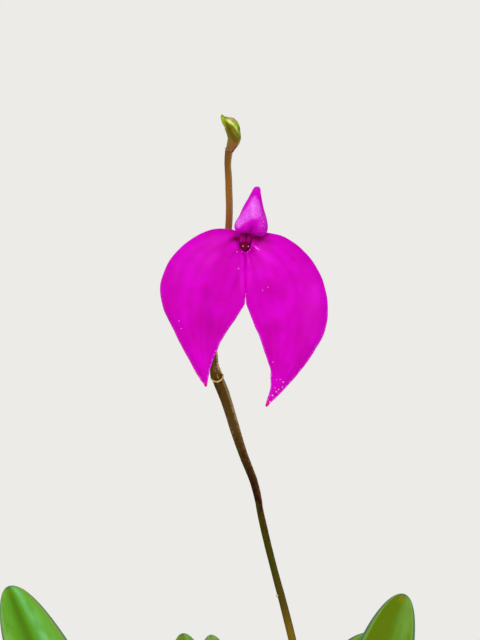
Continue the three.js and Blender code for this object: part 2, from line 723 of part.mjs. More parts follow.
const orchid = new THREE.Group();
const grow = (name, solid, colour, roughness) => orchid.add(namedMesh(name, solid, colour, roughness));
grow("pot", pot(), COLOURS.clay, 0.85);
grow("potting_bark", pottingMix(holes), COLOURS.bark, 0.95);
for (const spec of LEAVES) grow(spec.name, leaf(spec), COLOURS.leaf, 0.4);
grow("scape", scape(), COLOURS.stem, 0.55);
grow("bud", bud(), COLOURS.bud, 0.5);
grow("ovary", ovary(), COLOURS.ovary, 0.5);
grow("sepals", sepals(), COLOURS.sepal, 0.5);
grow("column", column(), COLOURS.column, 0.4);
grow("petal_left", petal(-1), COLOURS.petal, 0.4);
grow("petal_right", petal(1), COLOURS.petal, 0.4);
grow("lip", lip(), COLOURS.lip, 0.3);

export default orchid;
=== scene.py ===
import random
from math import atan2, copysign, cos, exp, hypot, pi, radians, sin, sqrt

import bmesh
import bpy
from mathutils import Euler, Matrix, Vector, noise


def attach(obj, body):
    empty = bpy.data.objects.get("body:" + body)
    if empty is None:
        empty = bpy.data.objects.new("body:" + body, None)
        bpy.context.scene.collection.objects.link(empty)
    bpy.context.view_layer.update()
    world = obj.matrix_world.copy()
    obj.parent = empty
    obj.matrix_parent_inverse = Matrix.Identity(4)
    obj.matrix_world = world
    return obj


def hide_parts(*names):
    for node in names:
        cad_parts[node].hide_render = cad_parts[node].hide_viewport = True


# A masdevallia orchid in flower, growing in a plain clay pot. Every size in the dictionaries is in
# millimetres. Blender works in metres, so points and sizes are scaled by mm where a mesh is made.
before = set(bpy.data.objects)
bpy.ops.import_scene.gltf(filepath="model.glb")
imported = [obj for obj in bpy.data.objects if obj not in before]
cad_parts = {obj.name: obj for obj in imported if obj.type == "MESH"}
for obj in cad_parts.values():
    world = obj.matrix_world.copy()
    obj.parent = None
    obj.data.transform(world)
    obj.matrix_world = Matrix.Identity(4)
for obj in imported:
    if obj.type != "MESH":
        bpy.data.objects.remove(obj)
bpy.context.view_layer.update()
mm = 0.001

# Small sums that the pieces share


def mix(a, b, share):
    return a + (b - a) * share


def ease(x):
    x = min(max(x, 0), 1)
    return x * x * (3 - 2 * x)


def bell(x, width):
    return exp(-((x / width) ** 2))


def hump(x):
    return sin(pi * min(1, x))


def evenShares(steps):
    # from 0 to 1 in even steps
    return [i / steps for i in range(steps + 1)]


def evenAngles(count):
    # the angles of points spaced evenly round a ring
    return [2 * pi * k / count for k in range(count)]


def uneven(x, y, z):
    # smooth noise, from about -1 to 1
    return noise.noise(Vector((x, y, z)))


def smoothLine(points):
    # an even curve through the points, which also works on plain numbers
    knots = [Vector(p) if isinstance(p, (list, tuple)) else p for p in points]
    ends = [2 * knots[0] - knots[1], *knots, 2 * knots[-1] - knots[-2]]

    def at(t):
        place = min(max(t, 0), 1) * (len(knots) - 1)
        i = min(int(place), len(knots) - 2)
        w = place - i
        a, b, c, d = ends[i : i + 4]
        return 0.5 * (
            2 * b + (c - a) * w + (2 * a - 5 * b + 4 * c - d) * w**2 + (3 * b - 3 * c + d - a) * w**3
        )

    return at


def bezierLine(a, b, c, d):
    def at(t):
        s = 1 - t
        return s**3 * a + 3 * s * s * t * b + 3 * s * t * t * c + t**3 * d

    return at


def byLength(line, steps=160):
    # the same line read by its length, and how long it is
    points = [line(share) for share in evenShares(steps)]
    reach = [0]
    for a, b in zip(points, points[1:]):
        reach.append(reach[-1] + (b - a).length)

    def at(share):
        goal = min(max(share, 0), 1) * reach[-1]
        i = next((k for k in range(steps) if reach[k + 1] >= goal), steps - 1)
        step = reach[i + 1] - reach[i]
        return line((i + (goal - reach[i]) / step) / steps)

    return at, reach[-1]


def crossAt(line, t, facing):
    # the point on the line, its side and its up towards facing, and the way it runs
    low, high = max(t - 0.002, 0), min(t + 0.002, 1)
    ahead = (line(high) - line(low)).normalized()
    up = (facing - ahead * facing.dot(ahead)).normalized()
    return line(t), up.cross(ahead), up, ahead


front = Vector((0, -1, 0))
upward = Vector((0, 0, 1))


# Materials


def toLinear(hexColour):
    channels = [int(hexColour[i : i + 2], 16) / 255 for i in (1, 3, 5)]
    return tuple(c / 12.92 if c <= 0.04045 else ((c + 0.055) / 1.055) ** 2.4 for c in channels) + (1.0,)


def newMaterial(name):
    material = bpy.data.materials.new(name)
    material.use_nodes = True
    material.node_tree.nodes.clear()
    return material


def addNode(owner, kind, sockets=(), stops=(), output=0, **settings):
    # one node with its settings, its colour stops and what feeds each socket: another node's output, a
    # value, a colour, or a stored mark by its name; it gives the output that the next node reads
    tree = owner.node_tree
    node = tree.nodes.new("ShaderNode" + kind)
    for setting, value in settings.items():
        setattr(node, setting, value)
    for k, (place, colour) in enumerate(stops):
        elements = node.color_ramp.elements
        if k in (0, len(stops) - 1):
            element = elements[0 if k == 0 else -1]
            element.position = place
        else:
            element = elements.new(place)
        element.color = toLinear(colour) if isinstance(colour, str) else (colour, colour, colour, 1)
    for socket, value in dict(sockets).items():
        if isinstance(value, str) and not value.startswith("#"):
            value = addNode(owner, "Attribute", output="Fac", attribute_name=value)
        if isinstance(value, bpy.types.NodeSocket):
            tree.links.new(value, node.inputs[socket])
        else:
            node.inputs[socket].default_value = toLinear(value) if isinstance(value, str) else value
    return node.outputs[output] if node.outputs else None


def startMaterial(name, source, size, detail, places, colours, roughness=0.5, stretch=None):
    # a cloud of colours as the ground; source is Object or a stored mark, and size is the cloud's, in mm
    material = newMaterial(name)
    if source == "Object":
        place = addNode(material, "TexCoord", output="Object")
        size *= mm
    else:
        place = addNode(material, "Attribute", output="Vector", attribute_name=source)
    sockets = {"Vector": place, "Scale": 1 / size, "Detail": detail, "Roughness": roughness}
    if stretch:
        sockets["Vector"] = addNode(material, "Mapping", {"Vector": place, "Scale": stretch})
    cloud = addNode(material, "TexNoise", sockets)
    ground = addNode(material, "ValToRGB", {"Fac": cloud}, list(zip(places, colours)))
    return material, place, cloud, ground


def finishMaterial(material, colour, layers, relief, rough, gloss, ior=None, depth=None, more=()):
    # lays each colour over the last through its mask, which may be a stored mark, then adds the shader;
    # relief is a height, its strength and its reach in mm, and depth how far light goes in: weight, radii, mm
    for mask, over in layers:
        colour = addNode(
            material, "Mix", {0: mask, 6: colour, 7: over}, output=2, data_type="RGBA", clamp_factor=True
        )
    sockets = {"Base Color": colour, "Roughness": rough, "Specular IOR Level": gloss, **dict(more)}
    if ior:
        sockets["IOR"] = ior
    if depth:
        weight, radii, reach = depth
        sockets["Subsurface Weight"], sockets["Subsurface Radius"] = weight, radii
        sockets["Subsurface Scale"] = reach * mm
    if relief:
        height, strength, reach = relief
        bump = {"Height": height, "Strength": strength, "Distance": reach * mm}
        sockets["Normal"] = addNode(material, "Bump", bump)
    shader = addNode(material, "BsdfPrincipled", sockets)
    addNode(material, "OutputMaterial", {"Surface": shader})
    return material


# Meshes


def nothingSelected():
    if bpy.context.object and bpy.context.object.mode != "OBJECT":
        bpy.ops.object.mode_set(mode="OBJECT")
    bpy.ops.object.select_all(action="DESELECT")


def onlySelected(piece):
    nothingSelected()
    piece.select_set(True)
    bpy.context.view_layer.objects.active = piece


def added(operator, **settings):
    # a new primitive or lamp, with nothing else selected
    nothingSelected()
    operator(**settings)
    return bpy.context.object


def editedWhole(piece, operator, **settings):
    # one edit mode operator on all of the piece
    onlySelected(piece)
    bpy.ops.object.mode_set(mode="EDIT")
    bpy.ops.mesh.select_all(action="SELECT")
    operator(**settings)
    bpy.ops.object.mode_set(mode="OBJECT")


def putPoints(piece, pointOf):
    # moves each vertex to its place, and stores the marks that the materials read
    marks, grain = {}, []
    for vertex in piece.data.vertices:
        place, straight, values = pointOf(vertex.co)
        vertex.co = place * mm
        grain.extend(straight)
        for name, value in values.items():
            marks.setdefault(name, []).append(value)
    attribute = piece.data.attributes.new("grain", "FLOAT_VECTOR", "POINT")
    attribute.data.foreach_set("vector", grain)
    for name, values in marks.items():
        attribute = piece.data.attributes.new(name, "FLOAT", "POINT")
        attribute.data.foreach_set("value", values)


def closedFromRings(rings):
    # a cylinder cut into rings, each of which takes the points of its row; the ends stay closed
    around = len(rings[0])
    piece = added(
        bpy.ops.mesh.primitive_cylinder_add, vertices=around, radius=1, depth=1, end_fill_type="TRIFAN"
    )
    bpy.ops.object.mode_set(mode="EDIT")
    bpy.ops.mesh.select_all(action="DESELECT")
    shape = bmesh.from_edit_mesh(piece.data)
    for edge in shape.edges:
        edge.select = abs(edge.verts[0].co.z - edge.verts[1].co.z) > 0.5
    bmesh.update_edit_mesh(piece.data)
    bpy.ops.mesh.subdivide(number_cuts=len(rings) - 2)
    bpy.ops.object.mode_set(mode="OBJECT")

    def pointOf(co):
        ring = rings[round((co.z + 0.5) * (len(rings) - 1))]
        if hypot(co.x, co.y) < 0.01:
            middle = sum((p[0] for p in ring), Vector()) / around
            straight = sum((Vector(p[1]) for p in ring), Vector()) / around
            return middle, straight, ring[0][2]
        return ring[round(atan2(co.x, co.y) / (2 * pi) * around) % around]

    putPoints(piece, pointOf)
    facesOut(piece)
    return piece


def sheetFromRows(rows):
    far, columns = len(rows) - 1, len(rows[0]) - 1
    piece = added(bpy.ops.mesh.primitive_grid_add, x_subdivisions=columns, y_subdivisions=far, size=1)
    putPoints(piece, lambda co: rows[round((co.y + 0.5) * far)][round((co.x + 0.5) * columns)])
    return piece


def facesOut(piece, weld=0.0):
    if weld:
        editedWhole(piece, bpy.ops.mesh.remove_doubles, threshold=weld * mm)
    editedWhole(piece, bpy.ops.mesh.normals_make_consistent, inside=False)


def joined(pieces):
    nothingSelected()
    for piece in pieces:
        piece.select_set(True)
    bpy.context.view_layer.objects.active = pieces[0]
    bpy.ops.object.join()
    return bpy.context.object


def withModifier(piece, kind, **settings):
    onlySelected(piece)
    modifier = piece.modifiers.new(kind.title(), kind)
    for setting, value in settings.items():
        setattr(modifier, setting, value)
    bpy.ops.object.modifier_apply(modifier=modifier.name)


def dressed(piece, name, nodes, materials, sharpOver=None):
    # names the piece, gives it its finish, and stands it for its solids
    piece.name = piece.data.name = name
    onlySelected(piece)
    if sharpOver:
        bpy.ops.object.shade_smooth_by_angle(angle=radians(sharpOver))
    else:
        bpy.ops.object.shade_smooth()
    for material in materials:
        piece.data.materials.append(material)
    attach(piece, "root")
    if nodes:
        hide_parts(*nodes)
    return piece


def stemRings(line, radiusOf, around, rings, facing=front, flatness=1.0, marksOf=lambda t, angle: {}):
    # rings of a round stem; radiusOf takes the place along it and the angle round it
    rows = []
    for t in evenShares(rings):
        at, side, up, _ = crossAt(line, t, facing)
        row = []
        for angle in evenAngles(around):
            radius = radiusOf(t, angle)
            s, u = radius * cos(angle), radius * flatness * sin(angle)
            row.append((at + side * s + up * u, (s, u, at.z), marksOf(t, angle)))
        rows.append(row)
    return rows


# The studio: a pale floor that fades into the backdrop, soft panels, and the camera

studio = {
    "eye": (-16.5, -817, 295),
    "lens": 150,
    "sensor": 36,
    "floorRadius": 1050,
    "floorSides": 96,
    "floorDrop": 0.2,  # how far it lies under the pot
    "fadeFrom": 320,
    "floorColour": "#E6E4E0",
    # colour and strength of what the camera sees, and of what lights the plant
    "backdrop": ("#ECEBE8", 1.0),
    "surround": ("#FFFFFF", 0.22),
    # each panel: place, point it faces, width, watts, colour
    "panels": [
        ((-380, -1000, 900), (-15, 0, 250), 620, 10, "#FFFDFA"),
        ((760, -820, 420), (-15, 0, 240), 700, 4.4, "#FBFCFF"),
        ((160, 760, 820), (0, 0, 220), 600, 4.5, "#FFFFFF"),
        ((-900, 300, 500), (0, 0, 200), 600, 2.6, "#FBFCFF"),
    ],
}


def buildStudio():
    camera = added(
        bpy.ops.object.camera_add, location=Vector(studio["eye"]) * mm, rotation=(radians(90), 0, 0)
    )
    camera.data.lens = studio["lens"]
    camera.data.sensor_width = studio["sensor"]
    bpy.context.scene.camera = camera
    for place, goal, width, watts, colour in studio["panels"]:
        place, goal = Vector(place) * mm, Vector(goal) * mm
        panel = added(bpy.ops.object.light_add, type="AREA", location=place)
        panel.rotation_euler = (goal - place).to_track_quat("-Z", "Y").to_euler()
        panel.data.size = width * mm
        panel.data.energy = watts
        panel.data.color = toLinear(colour)[:3]
    edge = studio["floorRadius"] * mm
    floor = added(
        bpy.ops.mesh.primitive_circle_add, vertices=studio["floorSides"], radius=edge, fill_type="NGON"
    )
    floor.name = "floor"
    floor.location.z = -studio["floorDrop"] * mm
    paper = newMaterial("studio_paper_matt")  # matt card, so no glare
    centre = addNode(paper, "TexCoord", output="Object")
    away = addNode(paper, "VectorMath", {0: centre}, output="Value", operation="LENGTH")
    fade = addNode(
        paper, "MapRange", {"Value": away, "From Min": studio["fadeFrom"] * mm, "From Max": edge * 0.95},
        interpolation_type="SMOOTHSTEP",
    )
    card = addNode(paper, "BsdfDiffuse", {"Color": studio["floorColour"]})
    clear = addNode(paper, "BsdfTransparent")
    blended = addNode(paper, "MixShader", {0: fade, 1: card, 2: clear})
    addNode(paper, "OutputMaterial", {"Surface": blended})
    floor.data.materials.append(paper)
    world = bpy.data.worlds.new("studio_surround")
    bpy.context.scene.world = world
    world.use_nodes = True
    world.node_tree.nodes.clear()
    ray = addNode(world, "LightPath", output="Is Camera Ray")
    grounds = {0: ray}
    for k, name in enumerate(("surround", "backdrop"), 1):
        colour, strength = studio[name]
        grounds[k] = addNode(world, "Background", {"Color": colour, "Strength": strength})
    surround = addNode(world, "MixShader", grounds)
    addNode(world, "OutputWorld", {"Surface": surround})
    bpy.context.scene.view_settings.view_transform = "Standard"


buildStudio()
print("studio set")


# The flower's three sepals, one fleshy sheet joined in a tube behind the throat

flower = {
    "throat": (-14.85, -17, 318),
    "mouthDepth": 2.2,
    "tubeLength": 13.8,
    "thickness": 0.9,
    "weld": 0.004,  # points closer than this are one
    "upperCorner": 52,  # degrees above level where the side sepals end on the mouth
    "notch": 0.5,  # share of a side sepal's length where the seam ends
    "slitFrom": -15.6,  # height where the seam starts to open
    "slit": 0.13,
    "veins": (0.17, 0.31, 0.47, 0.63, 0.8),
    "columns": 36,
    "rows": 92,
    "tubeRows": 14,
    "capRows": 6,
    "dorsalColumns": 36,
    "dorsalRows": 56,
    "dorsalAhead": (0.2, 1),  # the way its tip points, in x and z
    # half width, half height, rise and depth of the tube from its mouth to its back end
    "tubeWidth": (2.05, 3.2, 3.9, 4.1, 3.8, 2.9, 1.7, 0),
    "tubeHeight": (3.1, 3.7, 4.1, 4.1, 3.8, 2.9, 1.7, 0),
    "tubeRise": (0.45, 0.3, 0.2, 0.2, 0.1, -0.1, -0.3, -0.3),
    "tubeDepth": (0, 0.18, 0.36, 0.54, 0.71, 0.87, 0.985, 1),
    "squareTop": 0.55,
    "mouthShift": (0.26, -0.8, 0.9),  # how far left the mouth's lower half sits, its height and reach
    "seam": (-2.65, -5.4, -8.6, -11.9, -15.1, -18.2),
    "leftOuter": (
        (-1.57, 3.17), (-4.8, 4.3), (-10.6, 4.1), (-17.3, 0.7), (-22.9, -5.1), (-25.65, -12.4),
        (-24.7, -19.6), (-21.15, -26.9), (-17.15, -34.6), (-14, -40.2), (-12.5, -42.2),
    ),
    "leftInner": (
        (-0.13, -18.2), (-2.6, -22.2), (-5.5, -26.4), (-7.9, -30.8), (-9.75, -35.2), (-10.95, -39.2),
        (-11.45, -42.3),
    ),
    "rightOuter": (
        (1.57, 3.17), (6.6, 3.2), (12.2, 1.75), (18, -2.7), (22.6, -9.4), (24.85, -17.8), (23.9, -26.2),
        (20.1, -33.3), (15, -40), (10.4, -45), (7.35, -47.9),
    ),
    "rightInner": (
        (0.13, -18.2), (2.08, -23.2), (4.1, -28.2), (6.03, -33.2), (7.45, -38.2), (7.42, -43.2), (6, -48.3),
    ),
    "dorsalLeft": (
        (-1.57, 3.17), (-1.95, 3.15), (-2.6, 3.4), (-3.3, 4.4), (-3.15, 6), (-1.85, 8.2), (-0.7, 10.8),
        (0.85, 13.4), (1.6, 14.9), (2.1, 15.8),
    ),
    "dorsalMiddle": (
        (0, 3.55), (0.9, 3.5), (1.6, 3.75), (1.95, 4.6), (2.05, 6.1), (2.15, 8.2), (2.35, 10.6),
        (2.8, 13.4), (3.1, 14.95), (3.3, 15.85),
    ),
    "dorsalRight": (
        (1.57, 3.17), (2.9, 2.5), (4.7, 2.15), (6.3, 3.1), (6.65, 5.2), (6.2, 7.8), (5.42, 10.4),
        (4.83, 13.3), (4.6, 14.9), (4.5, 15.8),
    ),
    "middleDepth": (-2.2, -0.6, 0.9, 1.6, 2, 1.9, 1.4, 0.5, -0.5, -1),
    "edgeDepth": (-2.2, -0.4, 0.6, 0.7, 0.5, 0.3, 0, -0.5, -1, -1.3),
    "puff": (0, 0.5, 1.3, 1.5, 1.1, 0.7, 0.4, 0.2, 0, 0),
    "crease": (0, 0.5, 0.9, 0.8, 0.45, 0.15, 0, 0, 0, 0),
    # outline of the pale patch of painted sheen on the upper sepal, and the middles and reaches of its
    # brightest parts
    "patch": (
        (2.85, 14), (1.95, 13.3), (1.2, 11.6), (0.2, 10), (-0.75, 8.8), (-2.1, 7.3), (-2.75, 5.9),
        (-2.45, 4.8), (-1.65, 4.7), (-0.75, 5.6), (0.45, 6.5), (1.35, 7.05), (2, 7.6), (2.7, 7.2),
        (3.7, 7.2), (4.5, 7.9), (4.7, 8.9), (4.5, 10.2), (3.8, 12.6),
    ),
    "bright": ((2.4, 10, 0.9, 3.2), (-1.75, 5.9, 1.1, 1.3), (-1.9, 5.8, 0.8, 1)),
    # middles and reaches of speckles of painted sheen
    "frost": ((5.3, 6.2, 0.9, 2.2), (0.2, 8.2, 1.2, 1.2)),
    # streaks that spread from the throat: from x, z to x, z, width at each end, strength; folds carry painted
    # shade and ridges painted highlight
    "folds": (
        (-2, -1.6, -6, -5.6, 0.35, 0.9, 0.8), (-2, -2.6, -2.3, -7.6, 0.22, 0.3, 0.5),
        (0, -2.6, 0, -8.2, 0.5, 0.22, 0.75), (-3.4, 1.2, -9, -0.8, 0.9, 1.5, 0.55),
        (5, 1, 10, -0.6, 0.9, 1.6, 0.35), (-1, -9, -6, -17, 0.4, 0.8, 0.25),
        (-11.5, -16, -10, -44, 1.8, 2.2, 0.35),
    ),
    "ridges": (
        (2.4, -0.5, 5, -2.7, 0.4, 0.7, 0.9), (4, -2, 10.5, -8, 0.7, 1.6, 0.45),
        (-1.2, -4, -1, -8.5, 0.22, 0.4, 0.3), (0.9, -3.6, 1.2, -9.5, 0.3, 0.5, 0.45),
        (-1.2, -9, -1.2, -17, 0.5, 0.7, 0.4), (1.2, -9, 1.3, -17, 0.5, 0.7, 0.4),
        (-5, 1.6, -15, -2, 1, 2.4, 0.3), (20.5, -14, 18, -32, 2.2, 2.6, 0.28),
        (-9, -4, -14, -8, 1.4, 2, 0.25),
    ),
    "shadows": ((-2.5, 1.5, -6.2, 0.6, 0.85, 0.9, 1), (2.7, 1.8, 8.4, -0.2, 0.85, 1, 0.85)),
    # colours of the face, from the ground colour to each thing laid over it
    "ground": ("#C800AE", "#D800CA"),
    "vein": "#B80098",
    # painted shade in the folds and creases
    "fold": "#9C0080",
    # painted highlight along the ridges
    "ridge": "#FF1CFA",
    # painted sheen
    "sheenColour": "#F27AFF",
    "lobe": "#D408D2",
    # painted highlight, speckled, along the free margins
    "rim": "#F07CE6",
    "tip": "#E0106E",
    # painted shade, laid in the throat, inside the tube and in the shadows under the upper sepal's lobes
    "deep": "#7C0038",
    "back": ("#B21692", "#C632A6"),
    "backVein": "#97107A",
}
throat = Vector(flower["throat"])
shapes = {name: smoothLine(flower[name]) for name in (
    "tubeWidth", "tubeHeight", "tubeRise", "tubeDepth", "leftOuter", "leftInner", "rightOuter", "rightInner",
    "dorsalLeft", "dorsalMiddle", "dorsalRight", "middleDepth", "edgeDepth", "puff", "crease", "seam",
)}
# marks stored at each point of the sepals, for their colours and for how thick they are
noMarks = dict.fromkeys(("vein", "fold", "ridge", "sheen", "frost", "rim", "tip", "deep", "upper"), 0.0)
noMarks["thick"] = 1.0


def inFlower(x, z, v):
    # x to the right, z up and v forward out of the face, all from the throat
    return throat + Vector((x, -v, z))


def tubeOutline(q, degrees):
    # across and up on the tube at q of its depth; near the mouth the upper half is nearly square
    c, s = cos(radians(degrees)), sin(radians(degrees))
    power = mix(1, flower["squareTop"], ease((s + 0.2) / 0.5) * (1 - ease(q / 0.3)))
    x = copysign(abs(c) ** power, c) * shapes["tubeWidth"](q)
    z = copysign(abs(s) ** power, s) * shapes["tubeHeight"](q) + shapes["tubeRise"](q)
    left, low, reach = flower["mouthShift"]
    return x - left * bell(z - low, reach) * (1 - ease(q * 2)), z


def tubePoint(q, degrees):
    x, z = tubeOutline(q, degrees)
    place = inFlower(x, z, -flower["mouthDepth"] - flower["tubeLength"] * min(1, shapes["tubeDepth"](q)))
    return place, (x, z, q), {
        **noMarks,
        "vein": 0.5 * bell(cos(radians(degrees) * 6), 0.25),
        # painted shade inside the tube, darker further in
        "deep": mix(0.3, 0.7, ease(q * 4)),
        "upper": ease((degrees - 40) / 30) if degrees < 90 else ease((140 - degrees) / 30),
    }


def tubeRows(start, end, columns, last):
    # rows of the tube from its back end towards its mouth, between two angles
    count = flower["tubeRows"]
    angles = [mix(start, end, share) for share in evenShares(columns)]
    return [[tubePoint(i / count, degrees) for degrees in angles] for i in range(count, last - 1, -1)]


def nearestOn(point, a, b):
    # where along a straight line its nearest place to the point is, and how far off that is
    run = b - a
    share = min(max((point - a).dot(run) / run.length_squared, 0), 1)
    return share, (point - a - run * share).length


def streaksAt(x, z, streaks):
    # how strongly the streaks lie on (x, z); each fades out towards its far end
    total, point = 0, Vector((x, z))
    for x1, z1, x2, z2, width1, width2, strength in streaks:
        share, away = nearestOn(point, Vector((x1, z1)), Vector((x2, z2)))
        total += strength * bell(away, mix(width1, width2, share)) * (1 - ease((share - 0.25) / 0.75))
    return min(1, total)


def patchAt(x, z):
    # 1 well inside the pale patch of the upper sepal and 0 outside it
    point, corners = Vector((x, z)), [Vector(corner) for corner in flower["patch"]]
    inside, nearest = False, 99
    for a, b in zip(corners, corners[1:] + corners[:1]):
        nearest = min(nearest, nearestOn(point, a, b)[1])
        if (a.y > z) != (b.y > z) and x < a.x + (z - a.y) * (b.x - a.x) / (b.y - a.y):
            inside = not inside
    return ease(0.5 + (nearest if inside else -nearest) / 0.8)


def spotsAt(x, z, spots):
    return sum(bell(x - a, c) * bell(z - b, d) for a, b, c, d in spots)


def sidePoint(side, x, z, s, t, width):
    # one point on the face of a side sepal; s runs from the seam to the outer margin
    notch = flower["notch"]
    fromThroat = hypot(x, z)
    crown = 2.2 * hump(s * 0.9 + 0.08) * hump(t * 0.9 + 0.1)
    dip = 1.7 * bell(fromThroat, 6)
    seam = bell(s, 0.055) * (1 - ease((t - notch) / 0.12)) * mix(1, 0.35, ease((t - 0.1) / 0.2))
    rolledBack = 1.8 * s**4 * hump(t + 0.1)
    broken = 0.65 + 0.9 * uneven(x * 0.22, z * 0.22, side * 5.3)
    veined = ease(t / 0.15) * (1 - ease((t - 0.75) / 0.2)) * max(0, broken)
    vein = sum(bell(s - middle, 0.035) for middle in flower["veins"]) * veined
    dark, bright = (streaksAt(x, z, flower[name]) for name in ("folds", "ridges"))
    swell = uneven(x * 0.13, z * 0.13, side * 3.1) * 0.35 * ease(t / 0.2)
    ripple = uneven(x * 0.45, z * 0.45, 7.7) * 0.06
    depth = crown - dip - seam - rolledBack - 0.1 * vein + 1.6 * min(t, 1) ** 5
    depth += swell + ripple - 0.24 * dark + 0.15 * bright
    free = (1 - s) * width if t < notch - 0.06 else min(s, 1 - s) * width
    tip = 0.7 * ease((t - 0.975) / 0.025)
    return depth, {
        **noMarks,
        "vein": min(1, vein),
        "fold": dark,
        "ridge": bright,
        # a thin speckled painted highlight along the free margins
        "rim": (1 - ease((free - 0.2) / 0.5)) * ease((t - 0.4) / 0.25) * (1 - tip),
        "tip": tip,
        # painted shade round the throat and in the shadows of the upper sepal's lobes
        "deep": min(1, bell(hypot(x, z - 0.4), 1.7) + streaksAt(x, z, flower["shadows"])),
        "thick": mix(1, 0.42, (1 - ease(free / 2.4)) * ease(t / 0.12)) if t < 0.96 else 0.65,
    }


def rowAcross(base, edge, columns, pointAt):
    # one row of points between two margins
    return [pointAt(share, *base.lerp(edge, share)) for share in evenShares(columns)]


def roundCap(base, edge, ahead, capRows):
    # the shrinking rows of a half circle that closes a blunt tip
    middle, half = (base + edge) / 2, (edge - base) / 2
    for k in range(1, capRows + 1):
        angle = radians(90 * k / capRows)
        reach, across = half.length * sin(angle), half * max(cos(angle), 0.03)
        yield middle + ahead * reach - across, middle + ahead * reach + across


def sideRows(side):
    name = "right" if side > 0 else "left"
    outer, inner = shapes[name + "Outer"], shapes[name + "Inner"]
    notch, columns = flower["notch"], flower["columns"]
    start, end = (-90, flower["upperCorner"]) if side > 0 else (270, 180 - flower["upperCorner"])
    mouth = [tubeOutline(0, mix(start, end, share)) for share in evenShares(columns)]
    rows = tubeRows(start, end, columns, 1)

    def margins(t):
        edge = outer(t) + Vector((0.24 * hump(t) * uneven(t * 21, side * 4, 0.3), 0))
        if t <= notch:
            z = shapes["seam"](t / notch)
            opened = ease((flower["slitFrom"] - z) / (flower["slitFrom"] - flower["seam"][-1]))
            return Vector((side * flower["slit"] * opened, z)), edge
        share = (t - notch) / (1 - notch)
        return inner(share) + Vector((0.3 * hump(share) * uneven(t * 21, side * 4, 5.3), 0)), edge

    for t in evenShares(flower["rows"]):
        base, edge = margins(t)
        width = (edge - base).length
        spread = ease(t / 0.16)  # the row leaves the curve of the mouth and lies flat

        def pointAt(s, x, z):
            j = round(s * columns)
            x += (mouth[j][0] - mix(mouth[0][0], mouth[-1][0], s)) * (1 - spread)
            z += (mouth[j][1] - mix(mouth[0][1], mouth[-1][1], s)) * (1 - spread)
            depth, marks = sidePoint(side, x, z, s, t, width)
            depth = mix(-flower["mouthDepth"], depth, ease(t / 0.11))
            return inFlower(x, z, depth), (x, z, 0), marks

        rows.append(rowAcross(base, edge, columns, pointAt))
    before = sum(margins(0.97), Vector((0, 0))) / 2
    ahead = ((base + edge) / 2 - before).normalized()
    for k, (low, high) in enumerate(roundCap(base, edge, ahead, flower["capRows"])):

        def capPoint(s, x, z):
            depth, marks = sidePoint(side, x, z, s, 1, width)
            return inFlower(x, z, depth + 0.05 * k), (x, z, 0), marks

        rows.append(rowAcross(low, high, columns, capPoint))
    return rows


def dorsalRows():
    columns, corner = flower["dorsalColumns"], flower["upperCorner"]
    rows = tubeRows(180 - corner, corner, columns, 0)

    def pointAt(t, s, x, z, halfWidth):
        puff = shapes["puff"](t) * sin(pi * abs(s)) ** 2
        crease = shapes["crease"](t) * bell(s, 0.16)
        depth = mix(shapes["middleDepth"](t), shapes["edgeDepth"](t), s * s) + puff - crease
        depth += uneven(x * 0.5, z * 0.5, 2.2) * 0.1 * ease(t / 0.3)
        free = (1 - abs(s)) * halfWidth
        # painted shade along the crease and over the part below the inverted V
        creased = 0.85 * bell(s, 0.07) * ease((t - 0.06) / 0.1) * (1 - ease((t - 0.34) / 0.14))
        lower = 0.45 * (1 - ease((t - 0.3) / 0.14)) * bell(s, 0.6)
        return inFlower(x, z, depth), (x, z, 0), {
            **noMarks,
            "fold": min(1, creased + lower),
            # painted sheen over the pale patch, with painted speckles of it besides
            "sheen": patchAt(x, z) * min(1, 0.45 + 0.6 * spotsAt(x, z, flower["bright"])),
            "frost": min(1, 0.9 * spotsAt(x, z, flower["frost"])),
            # a thin painted highlight along the margins near the tip
            "rim": 0.9 * (1 - ease(free / 0.4)) * ease((t - 0.72) / 0.2),
            # painted shade where it leaves the tube
            "deep": bell(t, 0.05),
            "thick": mix(1, 0.5, 1 - ease(free / 1.6)),
            "upper": 1.0,
        }

    for t in evenShares(flower["dorsalRows"])[1:]:
        left, middle, right = (shapes[name](t) for name in ("dorsalLeft", "dorsalMiddle", "dorsalRight"))
        row = []
        for share in evenShares(columns):
            s = 2 * share - 1
            x, z = middle + (right - left) * s / 2 + ((right + left) / 2 - middle) * s * s
            row.append(pointAt(t, s, x, z, (right - left).length / 2))
        rows.append(row)
    ahead = Vector(flower["dorsalAhead"]).normalized()
    for low, high in roundCap(left, right, ahead, flower["capRows"]):
        rows.append(rowAcross(
            low, high, columns, lambda s, x, z: pointAt(1, 2 * s - 1, x, z, (high - low).length / 2)
        ))
    return rows


